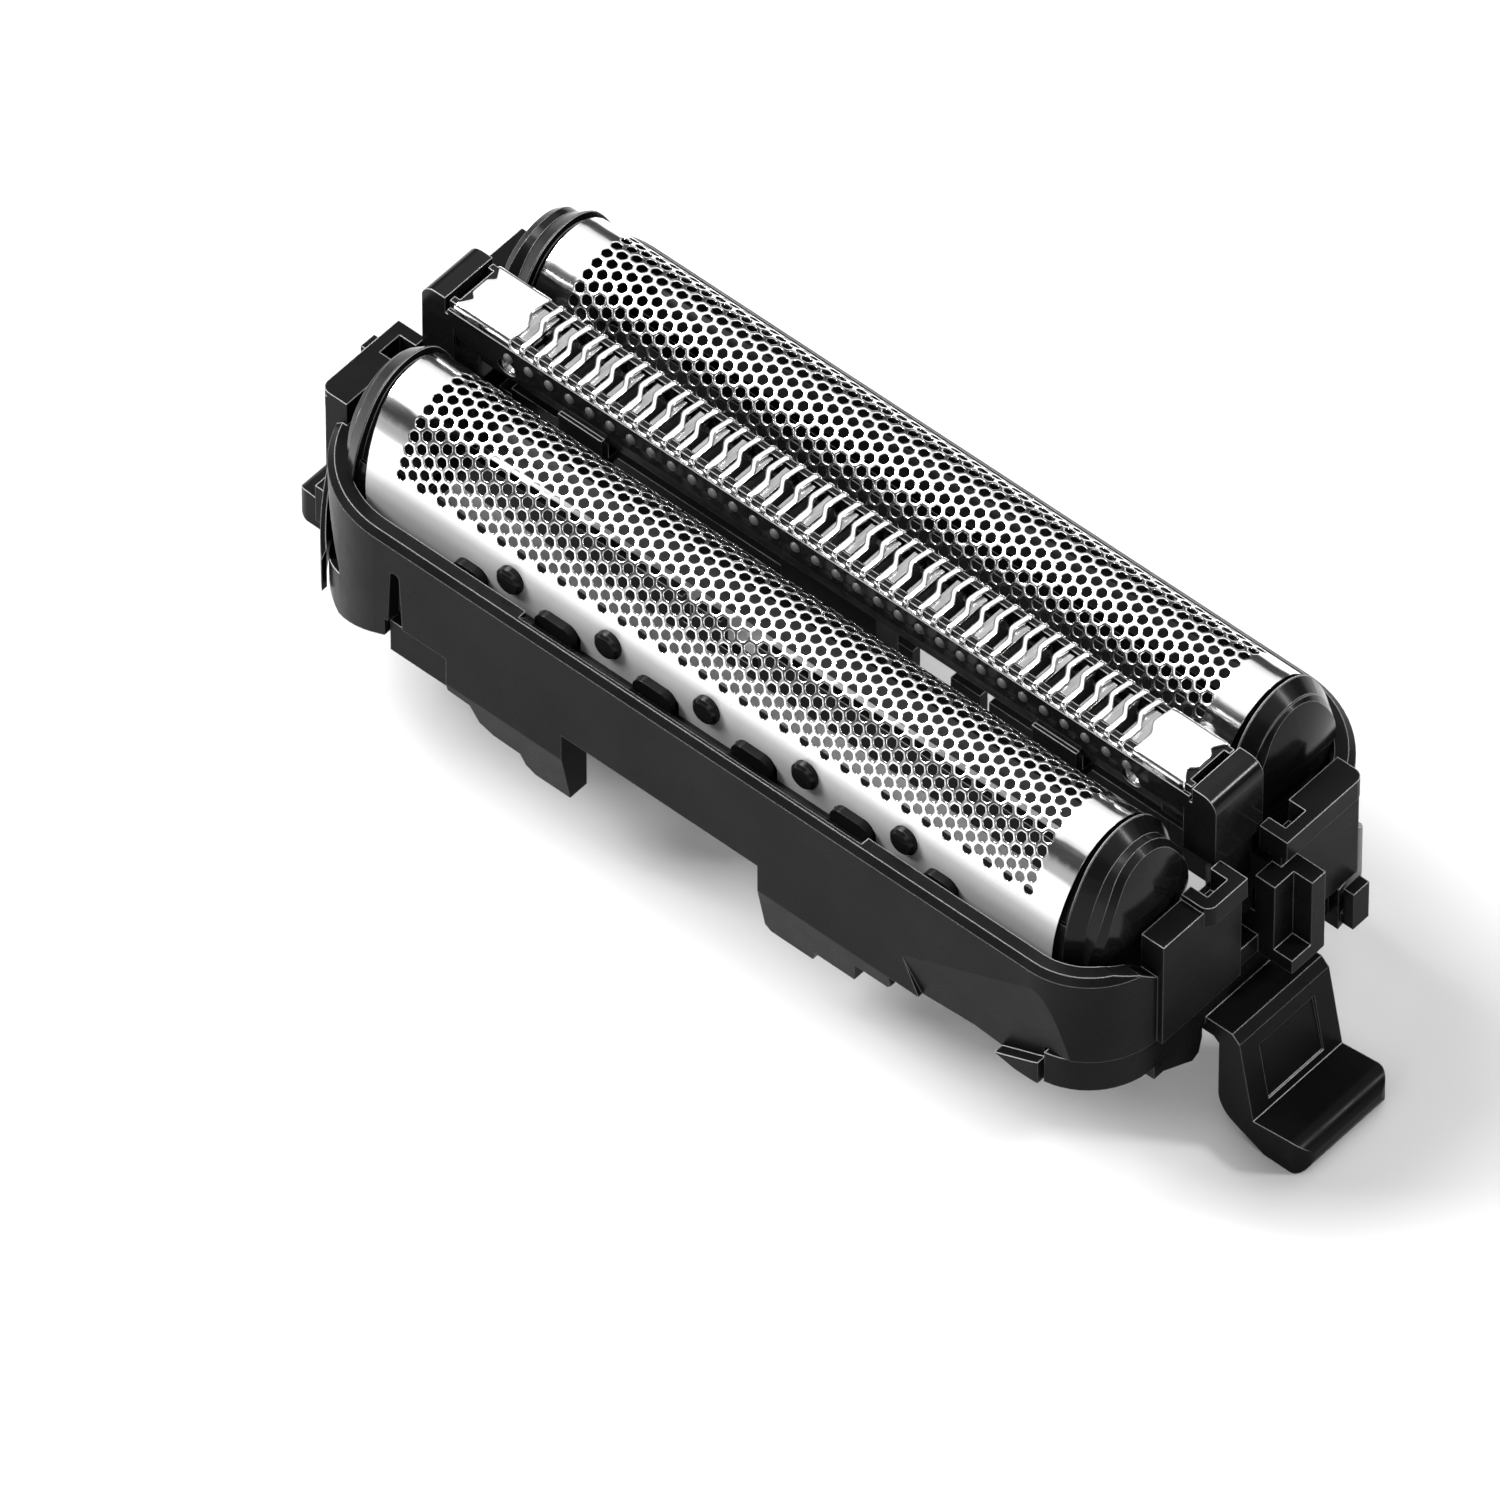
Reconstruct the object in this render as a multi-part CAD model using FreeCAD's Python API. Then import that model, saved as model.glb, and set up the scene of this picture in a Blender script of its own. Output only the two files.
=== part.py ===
import FreeCAD, Part
import math
import os

# Three-blade shaver foil head, in millimetres.
# X runs along the foils, Y across them, Z up from the soles of the release tabs.
# The head reads the same after half a turn about Z, so most features are made
# once and turned.

V = FreeCAD.Vector

# Levels above the soles
slit_top_z = 18.0
crest_drop = 0.25
rim_drop = 5.0
block_rise = 1.0
wall_bottom_z = 7.95
seam_gap = 0.15
flange_bottom_z = 5.6
spigot_top_z = 9.0
foil_crest_z = slit_top_z - crest_drop
rim_z = slit_top_z - rim_drop
block_top_z = rim_z + block_rise

# Outer frame, seen from above
frame_half_length = 22.7
frame_half_width = 9.9
tight_corner = 3.8
wide_corner = 5.6
frame_wall = 0.9
rim_bevel = 0.3
rim_scallop_share = 0.414
rim_scallop = 0.45
rim_dip = 1.05
rim_dip_run = 1.8
fit_gap = 0.1
slide_gap = 0.15

# Room that tools reach past a face when they cut it, and that joined bodies
# run into each other
over = 1.0
lap = 0.2
far = 4 * frame_half_length
wall_x = frame_half_length - frame_wall
wall_y = frame_half_width - frame_wall

# Guide blocks and hooks on the end walls
block_proud = 0.3
block_side_margin = 3.7
block_gap_half = 1.25
hook_proud = 0.6
hook_height = 0.85
hook_arm = 0.6
hook_side_margin = 6.2
hook_corner = 0.5
hook_crown_rise = 0.3
pocket_floor_drop = 0.2
block_outer_x = frame_half_length + block_proud
block_half_span = frame_half_width - block_side_margin
hook_outer_x = frame_half_length + hook_proud
hook_end_y = frame_half_width - hook_side_margin

# Post and rib beside the centre slot
post_proud = 0.85
post_width = 1.2
post_offset = 0.2
rib_proud = 1.85
rib_width = 0.85
sill_height = 0.8
post_drop = 0.4
rib_bottom_z = wall_bottom_z - 0.05
post_outer_x = frame_half_length + post_proud
rib_outer_x = frame_half_length + rib_proud
post_top_z = rim_z - post_drop

# Skirt legs of the long walls, by their shares of the frame's length
leg_depth = 1.6
leg_taper = 0.55
leg_crease_z = 6.4
narrow_leg_share = -0.577
narrow_leg_width = 6.4
wide_leg_share = 0.181
wide_leg_width = 7.2
leg_bottom_z = 3.5
leg_step = 0.65
leg_root = 0.3
narrow_leg_start = narrow_leg_share * frame_half_length
wide_leg_start = wide_leg_share * frame_half_length

# Scooped corners and the round-topped slot
scoop_depth = 0.5
scoop_reach = 10.7
scoop_end_margin = 2.1
scoop_low_drop = 4.6
scoop_high_drop = 0.6
scoop_height = 4.2
slot_end_margin = 6.8
slot_width = 0.8
slot_low_drop = 5.2
slot_high_drop = 1.8
slot_top_width = 0.5
slot_depth = 0.675
scoop_start_x = frame_half_length - scoop_reach
scoop_end_x = frame_half_length - scoop_end_margin
scoop_low_z = rim_z - scoop_low_drop
slot_x = frame_half_length - slot_end_margin
slot_low_z = rim_z - slot_low_drop
slot_high_z = rim_z - slot_high_drop

# Skin of the wide corners, which runs down past the flange
skin_bottom_z = 5.45
skin_run = 6.2
skin_rise = 1.45
skin_step_run = 3.1
skirt_end_margin = 3.3
skirt_level_z = 6.4
skirt_low_z = 5.9
skirt_bend_share = 0.55
skirt_fall_share = 0.85
corner_cut_width = 1.9
corner_cut_depth = 0.5
corner_cut_top_z = rim_z - 0.9
corner_cut_front_z = 8.4
corner_cut_low_z = 6.6
corner_cut_face = 0.3

# Base frame
flange_inset = 0.2
flange_wall = 1.15
flange_bevel = 0.35
flange_clearance = 0.2
apron_gap = 0.2
apron_foot = 0.6
apron_foot_z = 5.2
apron_low_z = 4.2
spigot_wall = 0.9
lip_start_y = block_half_span - 1.2
lip_reach = 0.35
lip_top_z = 10.6
lip_front_z = 6.6
lip_bottom_drop = 0.3
lip_turn_share = 0.3
lip_fall_run = 2.6
lip_fall_rise = 0.6
lip_root_run = 0.5
end_bar_margin = 2.8
end_bar_height = 1.0
rib_half_gap = 1.75
rib_thickness = 0.5
rib_end_margin = 3.0
rib_clearance = 0.2
rib_window_start = 2.5
rib_window_length = 2.1
rib_peephole_x = 6.2
rib_peephole_width = 0.5
rib_window_rise = 0.8
clip_width = 1.0
clip_height = 2.2
clip_reach = 0.65
clip_foot = 0.6
end_bar_start_x = frame_half_length - end_bar_margin

# Release tabs
tab_half_width = 2.85
tab_arm_reach = 1.65
tab_foot_reach = 2.45
tab_tip_reach = 5.2
tab_shelf_rise = 0.7
tab_foot_z = 1.65
tab_tip_z = 2.0
tab_thickness = 1.1
tab_heel_z = 1.2
tab_heel_radius = 1.5
tab_sole_run = 0.65
tab_bevel = 0.4
tab_tip_radius = 0.75
tab_panel_half_width = 1.75
tab_panel_depth = 0.12
tab_panel_drop = 1.2
tab_panel_rise = 0.45
tab_panel_lean = 0.13
tab_panel_sink = 0.05
tab_root_drop = 1.1
tab_root_run = 0.3
tab_root_sink = 0.15
tab_arm_x = frame_half_length + tab_arm_reach
tab_foot_x = frame_half_length + tab_foot_reach
tab_tip_x = frame_half_length + tab_tip_reach
tab_shelf_z = flange_bottom_z + tab_shelf_rise

# Main foils
foil_side_margin = 4.9
foil_half_width = 3.35
foil_rise = 5.2
foil_crown_radius = 2.5
foil_sheet = 0.15
foil_end_margin = 3.5
foil_end_slant = 0.4
window_columns = 10
window_rows = 4
window_end_margin = 1.75
window_row_pitch = 2.2
window_share_x = 0.76
window_share_arc = 0.7
window_cut_depth = 0.45
outer_hem_drop = 0.7
inner_hem_rise = 0.65
notch_half_width = 1.15
notch_depth = 0.95
notch_corner = 0.45
foil_spacing = frame_half_width - foil_side_margin
foil_half_length = frame_half_length - foil_end_margin
foil_axis_z = foil_crest_z - foil_rise
foil_outer_hem_z = foil_axis_z - outer_hem_drop
foil_inner_hem_z = foil_axis_z + inner_hem_rise

# Main foil holders
cap_proud = 0.12
groove_width = 0.25
groove_depth = 0.3
long_cap_band = 0.75
long_cap_reach = 2.3
short_cap_band = 0.75
short_cap_reach = 1.75
cap_band_fall = 0.45
cap_band_slope_share = 0.9
cap_dome_radius = 8.0
cap_dome_rise = 1.65
cap_edge_bevel = 0.25
arch_rib_length = 1.1
rail_thickness = 0.6
rail_depth = 0.35
rail_rise = 1.55
lip_thickness = 0.4
ledge_end_margin = 0.6
lip_rise = 1.15
end_lip_rise = 1.0
lip_corner = 0.55
end_lip_half_width = 0.85
end_lip_inset = 0.6
tab_clearance = 0.1
stud_end_margin = 8.4
stud_count = 5
stud_head_radius = 0.68
stud_shank_radius = 0.4
stud_root = 0.36
stud_head_height = 0.32
stud_head_bevel = 0.14
stud_head_bed = 0.1
stud_rise = 1.5
end_leg_half_width = 2.0
lug_half_width = 0.8
lug_length = 0.7
lug_height = 1.2
lug_lift = 0.6
float_travel = 1.2
rail_bottom_z = foil_outer_hem_z - rail_depth
rail_top_z = foil_axis_z + rail_rise
stud_pitch = (foil_half_length - stud_end_margin) / (stud_count // 2)
stud_z = foil_outer_hem_z + stud_rise
end_leg_start_x = foil_half_length + groove_width
leg_floor_z = spigot_top_z + slide_gap
lug_top_z = leg_floor_z + lug_lift + lug_height

# Slit foil
slit_end_margin = 2.7
slit_half_width = 1.5
slit_sheet = 0.15
slit_hem = 0.6
slit_bend = 0.1
slit_end_pad = 2.8
slit_pitch = 0.78
slit_opening = 0.42
slit_jog = 0.4
slit_jog_half_run = 0.35
slit_front_drop = 0.32
slit_rear_margin = 0.22
dent_depth = 0.4
dent_y = 0.75
tongue_set = 0.12
tongue_half_width = 0.42
end_tip_width = 0.1
slit_half_length = frame_half_length - slit_end_margin
slit_count = int(2 * (slit_half_length - slit_end_pad) / slit_pitch)

# Slit holder
bar_wall = 0.3
bar_depth = 2.8
bar_lean = 0.25
bar_front_share = 0.7
bar_bend_share = 0.5
bar_bend_lean_share = 0.2
bar_overlap = 0.3
end_block_length = 1.75
end_block_round = 0.75
end_block_height = 4.0
end_block_gap = 0.45
end_block_step = 0.9
stem_half_width = 0.9
stem_margin = 0.75
ear_half_width = 1.75
ear_height = 1.1
ear_drop = 1.4
bridge_share = 0.65
bridge_half_length = 1.2
bridge_drop = 4.5
bridge_thickness = 0.5
pin_margin = 2.9
pin_drop = 1.95
pin_radius = 0.3
pin_head_radius = 0.5
pin_head_sink = 0.2
pin_head_length = 0.24
pin_cup_radius = 0.36
pin_cup_depth = 0.18
bar_bottom_z = slit_top_z - bar_depth
bar_front_z = bar_bottom_z + bar_front_share * bar_depth - slit_hem
bar_bend_z = bar_bottom_z + bar_bend_share * bar_depth - slit_hem
end_block_tip_x = slit_half_length + end_block_length
end_block_bottom_z = slit_top_z - end_block_height
stem_start_x = slit_half_length + stem_margin
ear_top_z = rim_z - ear_drop
bridge_x = bridge_share * slit_half_length
bridge_z = slit_top_z - bridge_drop
pin_x = slit_half_length - pin_margin
pin_z = slit_top_z - pin_drop

# Slit cutter
comb_gap = 0.1
comb_side_gap = 0.12
comb_sheet = 0.2
comb_end_margin = 2.6
comb_side = 1.3
comb_slot_depth = 0.715
carrier_seat_drop = 0.78
comb_end_pad = 0.6
comb_pitch = 1.176
comb_opening = 0.7
stroke = 1.0
stroke_clearance = 0.3
carrier_margin = 1.6
carrier_depth = 2.4
drive_half_length = 2.6
drive_clearance = 0.8
fork_half_gap = 0.8
fork_depth = 2.4
comb_half_length = slit_half_length - comb_end_margin
comb_half_width = slit_half_width - slit_sheet - bar_wall - comb_side_gap
comb_count = int(2 * (comb_half_length - comb_end_pad) / comb_pitch)
carrier_half_length = comb_half_length - carrier_margin
carrier_bottom_z = slit_top_z - carrier_depth
drive_bottom_z = spigot_top_z + drive_clearance

# Coil springs under the cutter carrier
spring_radius = 0.62
spring_wire = 0.2
spring_turns = 2.5
spring_clearance = 0.12


def block(x0, x1, y0, y1, z0, z1):
    return Part.makeBox(x1 - x0, y1 - y0, z1 - z0, V(x0, y0, z0))


def turned(shape):
    other = shape.copy()
    other.rotate(V(0, 0, 0), V(0, 0, 1), 180)
    return other


def both_ends(shape):
    return shape.fuse(turned(shape))


def mirrored_x(shape):
    return shape.mirror(V(0, 0, 0), V(1, 0, 0))


def mirrored_y(shape):
    return shape.mirror(V(0, 0, 0), V(0, 1, 0))


def prism_along_x(points, x0, x1):
    # A closed outline of (y, z) corners, drawn out between two stations.
    wire = Part.makePolygon([V(x0, y, z) for y, z in points + points[:1]])
    return Part.Face(wire).extrude(V(x1 - x0, 0, 0))


def prism_along_y(points, y0, y1):
    # A closed outline of (x, z) corners, drawn out between two stations.
    wire = Part.makePolygon([V(x, y0, z) for x, z in points + points[:1]])
    return Part.Face(wire).extrude(V(0, y1 - y0, 0))


def plan_slab(inset, z0, z1):
    # The frame's outline seen from above, drawn in by inset. Two opposite
    # corners are tight and the other two are wide.
    half_x = frame_half_length - inset
    half_y = frame_half_width - inset
    slab = block(-half_x, half_x, -half_y, half_y, z0, z1)
    for sign, radius in ((-1, tight_corner), (1, wide_corner)):
        uprights = [
            e for e in slab.Edges
            if abs(e.tangentAt(e.FirstParameter).z) > 0.9
            and e.Vertexes[0].X * e.Vertexes[0].Y * sign > half_x * half_y * 0.9
        ]
        slab = slab.makeFillet(radius - inset, uprights)
    return slab


# The arch is an oval of three arcs: two wide ones for the sides and a crown.
crown_drop = foil_rise - foil_crown_radius
foil_side_radius = (
    foil_half_width ** 2 + crown_drop ** 2 - foil_crown_radius ** 2
) / (2 * (foil_half_width - foil_crown_radius))


def arch(offset, x0, x1, centre_y, low_z):
    # The foil's outer arch, grown by offset, on straight sides down to low_z.
    half = foil_half_width + offset
    crown = foil_crown_radius + offset
    side = foil_side_radius + offset
    lean = math.atan2(crown_drop, foil_side_radius - foil_half_width)

    def side_point(angle, sign):
        y = foil_half_width - foil_side_radius + side * math.cos(angle)
        return V(x0, centre_y + sign * y, foil_axis_z + side * math.sin(angle))

    top = V(x0, centre_y, foil_axis_z + crown_drop + crown)
    edges = [
        Part.Arc(
            side_point(0, -1), side_point(lean / 2, -1), side_point(lean, -1)
        ).toShape(),
        Part.Arc(side_point(lean, -1), top, side_point(lean, 1)).toShape(),
        Part.Arc(
            side_point(lean, 1), side_point(lean / 2, 1), side_point(0, 1)
        ).toShape(),
    ]
    corners = [
        side_point(0, 1), V(x0, centre_y + half, low_z),
        V(x0, centre_y - half, low_z), side_point(0, -1),
    ]
    for start, end in zip(corners, corners[1:]):
        edges.append(Part.makeLine(start, end))
    return Part.Face(Part.Wire(edges)).extrude(V(x1 - x0, 0, 0))


def foil_face_reach(z):
    # How far the foil's outer face stands from its middle at a level.
    rise = z - foil_axis_z
    reach = math.sqrt(foil_side_radius ** 2 - rise ** 2)
    return foil_half_width - foil_side_radius + reach


def frame_ring():
    outer = plan_slab(0, wall_bottom_z, rim_z)
    top_edges = [
        e for e in outer.Edges
        if min(v.Z for v in e.Vertexes) > rim_z - 0.01
    ]
    outer = outer.makeChamfer(rim_bevel, top_edges)
    ring = outer.cut(plan_slab(frame_wall, wall_bottom_z - over, rim_z + over))
    half = rim_scallop_share * frame_half_length
    bevel = prism_along_x(
        [
            (-wall_y - rim_scallop - over, rim_z + over),
            (-wall_y + over, rim_z + over),
            (-wall_y + over, rim_z - rim_scallop),
            (-wall_y, rim_z - rim_scallop),
        ],
        -half, half,
    )
    ring = ring.cut(bevel).cut(turned(bevel))
    start = -block_half_span - rim_dip_run
    dip = prism_along_x(
        [
            (start, rim_z), (start, rim_z + over),
            (-block_half_span + over, rim_z + over),
            (-block_half_span + over, rim_z - rim_dip),
            (-block_half_span, rim_z - rim_dip),
            (start + rim_dip_run / 2, rim_z - rim_dip / 4),
        ],
        wall_x - frame_wall, far,
    )
    return ring.cut(both_ends(dip))


def skirt_leg(points):
    # A leg hangs flush with the long wall; below its crease it leans inwards.
    front = -frame_half_width
    leg = prism_along_y(points, front, front + leg_depth)
    shoulder = block(
        -far, far, front + frame_wall, front + leg_depth + over,
        wall_bottom_z - seam_gap - fit_gap, far,
    )
    leg = leg.cut(shoulder)
    low = min(z for x, z in points)
    lean = prism_along_x(
        [
            (front - over, leg_crease_z),
            (front, leg_crease_z),
            (front + leg_taper, low),
            (front + leg_taper, low - over),
            (front - over, low - over),
        ],
        min(x for x, z in points) - over, max(x for x, z in points) + over,
    )
    return leg.cut(lean)


def narrow_leg():
    x0 = narrow_leg_start
    width = narrow_leg_width
    top = wall_bottom_z + leg_root
    low = leg_bottom_z
    points = [
        (x0, top + leg_root),
        (x0, low + 3.7 * leg_step),
        (x0 + 0.19 * width, low + 3.6 * leg_step),
        (x0 + 0.25 * width, low + 2.1 * leg_step),
        (x0 + 0.36 * width, low + 1.6 * leg_step),
        (x0 + 0.59 * width, low + 1.5 * leg_step),
        (x0 + 0.625 * width, low + 0.5 * leg_step),
        (x0 + 0.7 * width, low),
        (x0 + width, low),
        (x0 + width, top),
    ]
    return skirt_leg(points)


def wide_leg():
    x0 = wide_leg_start
    width = wide_leg_width
    top = wall_bottom_z + leg_root
    low = leg_bottom_z
    points = [
        (x0, top),
        (x0, low + 0.5 * leg_step),
        (x0 + 0.04 * width, low),
        (x0 + 0.36 * width, low),
        (x0 + 0.39 * width, low + leg_step),
        (x0 + 0.69 * width, low + leg_step),
        (x0 + 0.72 * width, low + 3 * leg_step),
        (x0 + 0.97 * width, low + 3 * leg_step),
        (x0 + width, low + 3.4 * leg_step),
        (x0 + width, top),
    ]
    return skirt_leg(points)


def corner_scoop():
    # A slanting flat taken off the long wall, rising towards the corner.
    front = -frame_half_width
    rise = rim_z - scoop_high_drop - scoop_low_z
    run = scoop_end_x - scoop_start_x
    length = math.hypot(run, rise) + 3 * over
    wedge = Part.Face(Part.makePolygon([
        V(0, -over, 0), V(0, 0, 0), V(0, scoop_depth, -scoop_height),
        V(0, -over, -scoop_height), V(0, -over, 0),
    ])).extrude(V(length, 0, 0))
    wedge.rotate(V(0, 0, 0), V(0, 1, 0), -math.degrees(math.atan2(rise, run)))
    wedge.translate(V(scoop_start_x, front, scoop_low_z))
    return wedge


def round_topped_slot():
    front = -frame_half_width
    half = slot_width / 2
    top = slot_top_width / 2
    points = [
        (-slot_x - top, slot_high_z - top),
        (-slot_x - half, slot_low_z),
        (-slot_x + half, slot_low_z),
        (-slot_x + top, slot_high_z - top),
    ]
    low = prism_along_y(points, front - over, front + slot_depth)
    crown = Part.makeCylinder(
        top, over + slot_depth,
        V(-slot_x, front - over, slot_high_z - top), V(0, 1, 0),
    )
    return low.fuse(crown)


def corner_skin():
    # The wall of the front left corner goes on down outside the flange.
    ring = plan_slab(0, skin_bottom_z, wall_bottom_z + seam_gap)
    ring = ring.cut(plan_slab(frame_wall, skin_bottom_z - over, rim_z))
    ring = ring.common(block(
        -far, -frame_half_length + skin_run, -far, -block_half_span - seam_gap,
        skin_bottom_z, rim_z,
    ))
    end_x = -frame_half_length + skin_run
    return ring.cut(prism_along_y(
        [
            (end_x - skin_step_run, skin_bottom_z),
            (end_x - skin_step_run, skin_bottom_z - over),
            (end_x + over, skin_bottom_z - over),
            (end_x + over, skin_bottom_z + skin_rise),
            (end_x, skin_bottom_z + skin_rise),
        ],
        -far, 0,
    ))


def wall_skirt():
    # From the wide leg to the tight corner the long wall reaches lower.
    start = wide_leg_start + wide_leg_width - leg_root
    end = frame_half_length - skirt_end_margin
    run = end - start
    ring = plan_slab(0, skirt_low_z, wall_bottom_z + seam_gap)
    ring = ring.cut(plan_slab(frame_wall, skirt_low_z - over, rim_z))
    outline = prism_along_y(
        [
            (start, rim_z), (start, skirt_level_z),
            (start + skirt_bend_share * run, skirt_level_z),
            (start + skirt_fall_share * run, skirt_low_z),
            (end, skirt_low_z), (end, rim_z),
        ],
        -far, 0,
    )
    return ring.common(outline)


def corner_cut():
    # A narrow wedge taken out of the skin where it turns round the corner.
    centre_x = -frame_half_length + wide_corner
    centre_y = -frame_half_width + wide_corner
    outline = [
        (0, corner_cut_top_z), (corner_cut_width, corner_cut_front_z),
        (corner_cut_width, corner_cut_front_z - corner_cut_face),
        (-corner_cut_width, corner_cut_low_z - 2 * corner_cut_face),
        (-corner_cut_width, corner_cut_top_z),
    ]
    wedge = prism_along_x(
        outline, wide_corner - corner_cut_depth, wide_corner + over
    )
    wedge.rotate(V(0, 0, 0), V(0, 0, 1), 180 + 45)
    wedge.translate(V(centre_x, centre_y, 0))
    return wedge


def guide_block(side):
    # side is -1 for the block nearer the front foil and 1 for the other one.
    solid = block(
        wall_x, block_outer_x, -block_half_span, -block_gap_half,
        wall_bottom_z, block_top_z,
    )
    reach = hook_end_y if side < 0 else block_half_span
    crown = block(
        wall_x, hook_outer_x, -reach, -block_gap_half,
        block_top_z - hook_height, block_top_z + hook_crown_rise,
    )
    corner = [
        e for e in crown.Edges
        if abs(e.tangentAt(e.FirstParameter).z) > 0.9
        and e.CenterOfMass.x > wall_x + 0.1
        and e.CenterOfMass.y < -reach + 0.1
    ]
    crown = crown.makeFillet(hook_corner, corner)
    pocket = block(
        wall_x - over, hook_outer_x - hook_arm, -hook_end_y + hook_arm,
        -block_gap_half - hook_arm, block_top_z - hook_height - pocket_floor_drop,
        block_top_z + over,
    )
    whole = solid.fuse(crown).cut(pocket)
    return whole if side < 0 else mirrored_y(whole)


def lug_pocket(side):
    # Blind pocket in the end wall; its roof stops the foil holder's lug.
    y = side * foil_spacing
    floor = spigot_top_z
    roof = lug_top_z + float_travel + slide_gap
    return block(
        wall_x - frame_wall / 2, wall_x + lug_length,
        y - lug_half_width - slide_gap, y + lug_half_width + slide_gap,
        floor, roof,
    )


def ear_pocket():
    # Pocket beside the centre slot; its roof stops the slit holder's ears.
    return block(
        wall_x - frame_wall / 2, wall_x + lug_length,
        -ear_half_width - slide_gap, ear_half_width + slide_gap,
        ear_top_z - ear_height - slide_gap,
        ear_top_z + float_travel + slide_gap,
    )


def end_post():
    post = block(
        wall_x, post_outer_x, post_offset, post_offset + post_width,
        wall_bottom_z, post_top_z,
    )
    start = post_offset + post_width
    rib = block(
        wall_x, rib_outer_x, start, start + rib_width,
        rib_bottom_z, post_top_z,
    )
    sill = block(
        wall_x, rib_outer_x, post_offset, start + rib_width,
        rib_bottom_z, rib_bottom_z + sill_height,
    )
    return post.fuse(rib).fuse(sill)


def outer_frame():
    shape = frame_ring().fuse(both_ends(corner_skin()))
    shape = shape.fuse(both_ends(wall_skirt()))
    for leg in (narrow_leg(), wide_leg()):
        shape = shape.fuse(both_ends(leg))
    for side in (-1, 1):
        shape = shape.fuse(both_ends(guide_block(side)))
    centre_slot = block(
        wall_x - over, block_outer_x + over,
        -block_gap_half, block_gap_half, spigot_top_z, rim_z + 2 * over,
    )
    shape = shape.cut(both_ends(centre_slot))
    shape = shape.fuse(both_ends(end_post()))
    for side in (-1, 1):
        shape = shape.cut(both_ends(lug_pocket(side)))
    shape = shape.cut(both_ends(ear_pocket()))
    shape = shape.cut(both_ends(corner_scoop()))
    shape = shape.cut(both_ends(round_topped_slot()))
    shape = shape.cut(both_ends(corner_cut()))
    return shape.removeSplitter()


def flange_band(inset):
    ring = plan_slab(inset, flange_bottom_z, wall_bottom_z - seam_gap)
    low_edges = [
        e for e in ring.Edges
        if max(v.Z for v in e.Vertexes) < flange_bottom_z + 0.01
    ]
    ring = ring.makeChamfer(flange_bevel, low_edges)
    return ring.cut(plan_slab(inset + flange_wall, 0, far))


def end_flange():
    top = wall_bottom_z - seam_gap
    corner = block(
        -far, -frame_half_length + skin_run + seam_gap,
        -far, -block_half_span, 0, far,
    )
    corners = both_ends(corner)
    ring = flange_band(flange_inset).cut(corners)
    ring = ring.fuse(flange_band(frame_wall + fit_gap).common(corners))
    bar = block(
        end_bar_start_x, far, -far, far, top - end_bar_height, top,
    ).common(plan_slab(flange_inset + flange_wall / 2, 0, far))
    start = flange_clearance - narrow_leg_start
    keep = block(start, far, -far, far, 0, far)
    skirt = block(
        -far, frame_half_length - skirt_end_margin + seam_gap,
        -far, -block_half_span, 0, far,
    )
    return ring.fuse(bar.cut(corners)).common(keep).cut(skirt)


def end_apron():
    # The flange hangs lower between the tight corner and the release tab.
    inner_y = -tab_half_width - apron_gap
    outer_y = apron_gap / 2 - block_half_span
    points = [
        (outer_y, wall_bottom_z - seam_gap), (outer_y, apron_foot_z),
        (outer_y + apron_foot, apron_foot_z), (inner_y - apron_foot, apron_low_z),
        (inner_y - apron_gap, apron_low_z + apron_gap),
        (inner_y, apron_foot_z), (inner_y, wall_bottom_z - seam_gap),
    ]
    outer_x = frame_half_length - flange_inset
    return prism_along_x(points, outer_x - flange_wall, outer_x)


def spigot_ring():
    low = wall_bottom_z - seam_gap
    inset = frame_wall + fit_gap
    half_x = frame_half_length - inset - spigot_wall / 2
    high_x = frame_half_length - rib_end_margin
    rib_top_z = rail_bottom_z - float_travel - rib_clearance
    ring = plan_slab(inset, low, spigot_top_z)
    ring = ring.cut(plan_slab(inset + spigot_wall, low - over, far))
    for side in (-1, 1):
        y = side * rib_half_gap
        y0 = min(y, y + side * rib_thickness)
        rib = block(
            -half_x, half_x, y0, y0 + rib_thickness, low, spigot_top_z,
        )
        crest = block(
            -high_x, high_x, y0, y0 + rib_thickness, low, rib_top_z,
        )
        ring = ring.fuse(rib).fuse(crest)
    for start, length in (
        (rib_window_start, rib_window_length),
        (rib_peephole_x, rib_peephole_width),
    ):
        window = block(
            start, start + length, 0, rib_half_gap + rib_thickness + over / 2,
            low + rib_window_rise, far,
        )
        ring = ring.cut(both_ends(window))
    return ring


def corner_lip():
    # Springy guard that leaves the flange and follows a wide corner outside.
    low = flange_bottom_z - lip_bottom_drop
    top = wall_bottom_z - seam_gap
    guard = plan_slab(-lip_reach, low, lip_top_z).cut(plan_slab(-fit_gap, 0, far))
    turn_x = -frame_half_length + wide_corner * lip_turn_share
    keep = block(
        -far, turn_x, -far, -block_half_span - seam_gap, 0, far,
    )
    fall = prism_along_x(
        [
            (-block_half_span, lip_top_z), (-block_half_span, lip_top_z + over),
            (-frame_half_width, lip_top_z + over),
            (-frame_half_width, lip_front_z),
            (-block_half_span - lip_fall_run, lip_front_z + lip_fall_rise),
        ],
        -far, 0,
    )
    guard = guard.common(keep).cut(fall)
    root = plan_slab(-lip_reach, low, top).cut(plan_slab(-fit_gap, 0, far))
    root = root.common(block(
        -far, 0, -block_half_span - lip_root_run, -lip_start_y, 0, far,
    ))
    web = plan_slab(-lip_reach, low, top).cut(
        plan_slab(flange_inset + flange_wall, 0, far)
    )
    web = web.common(block(
        -far, 0, -block_half_span - seam_gap, -lip_start_y, 0, far,
    ))
    return guard.fuse(root).fuse(web)


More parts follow.
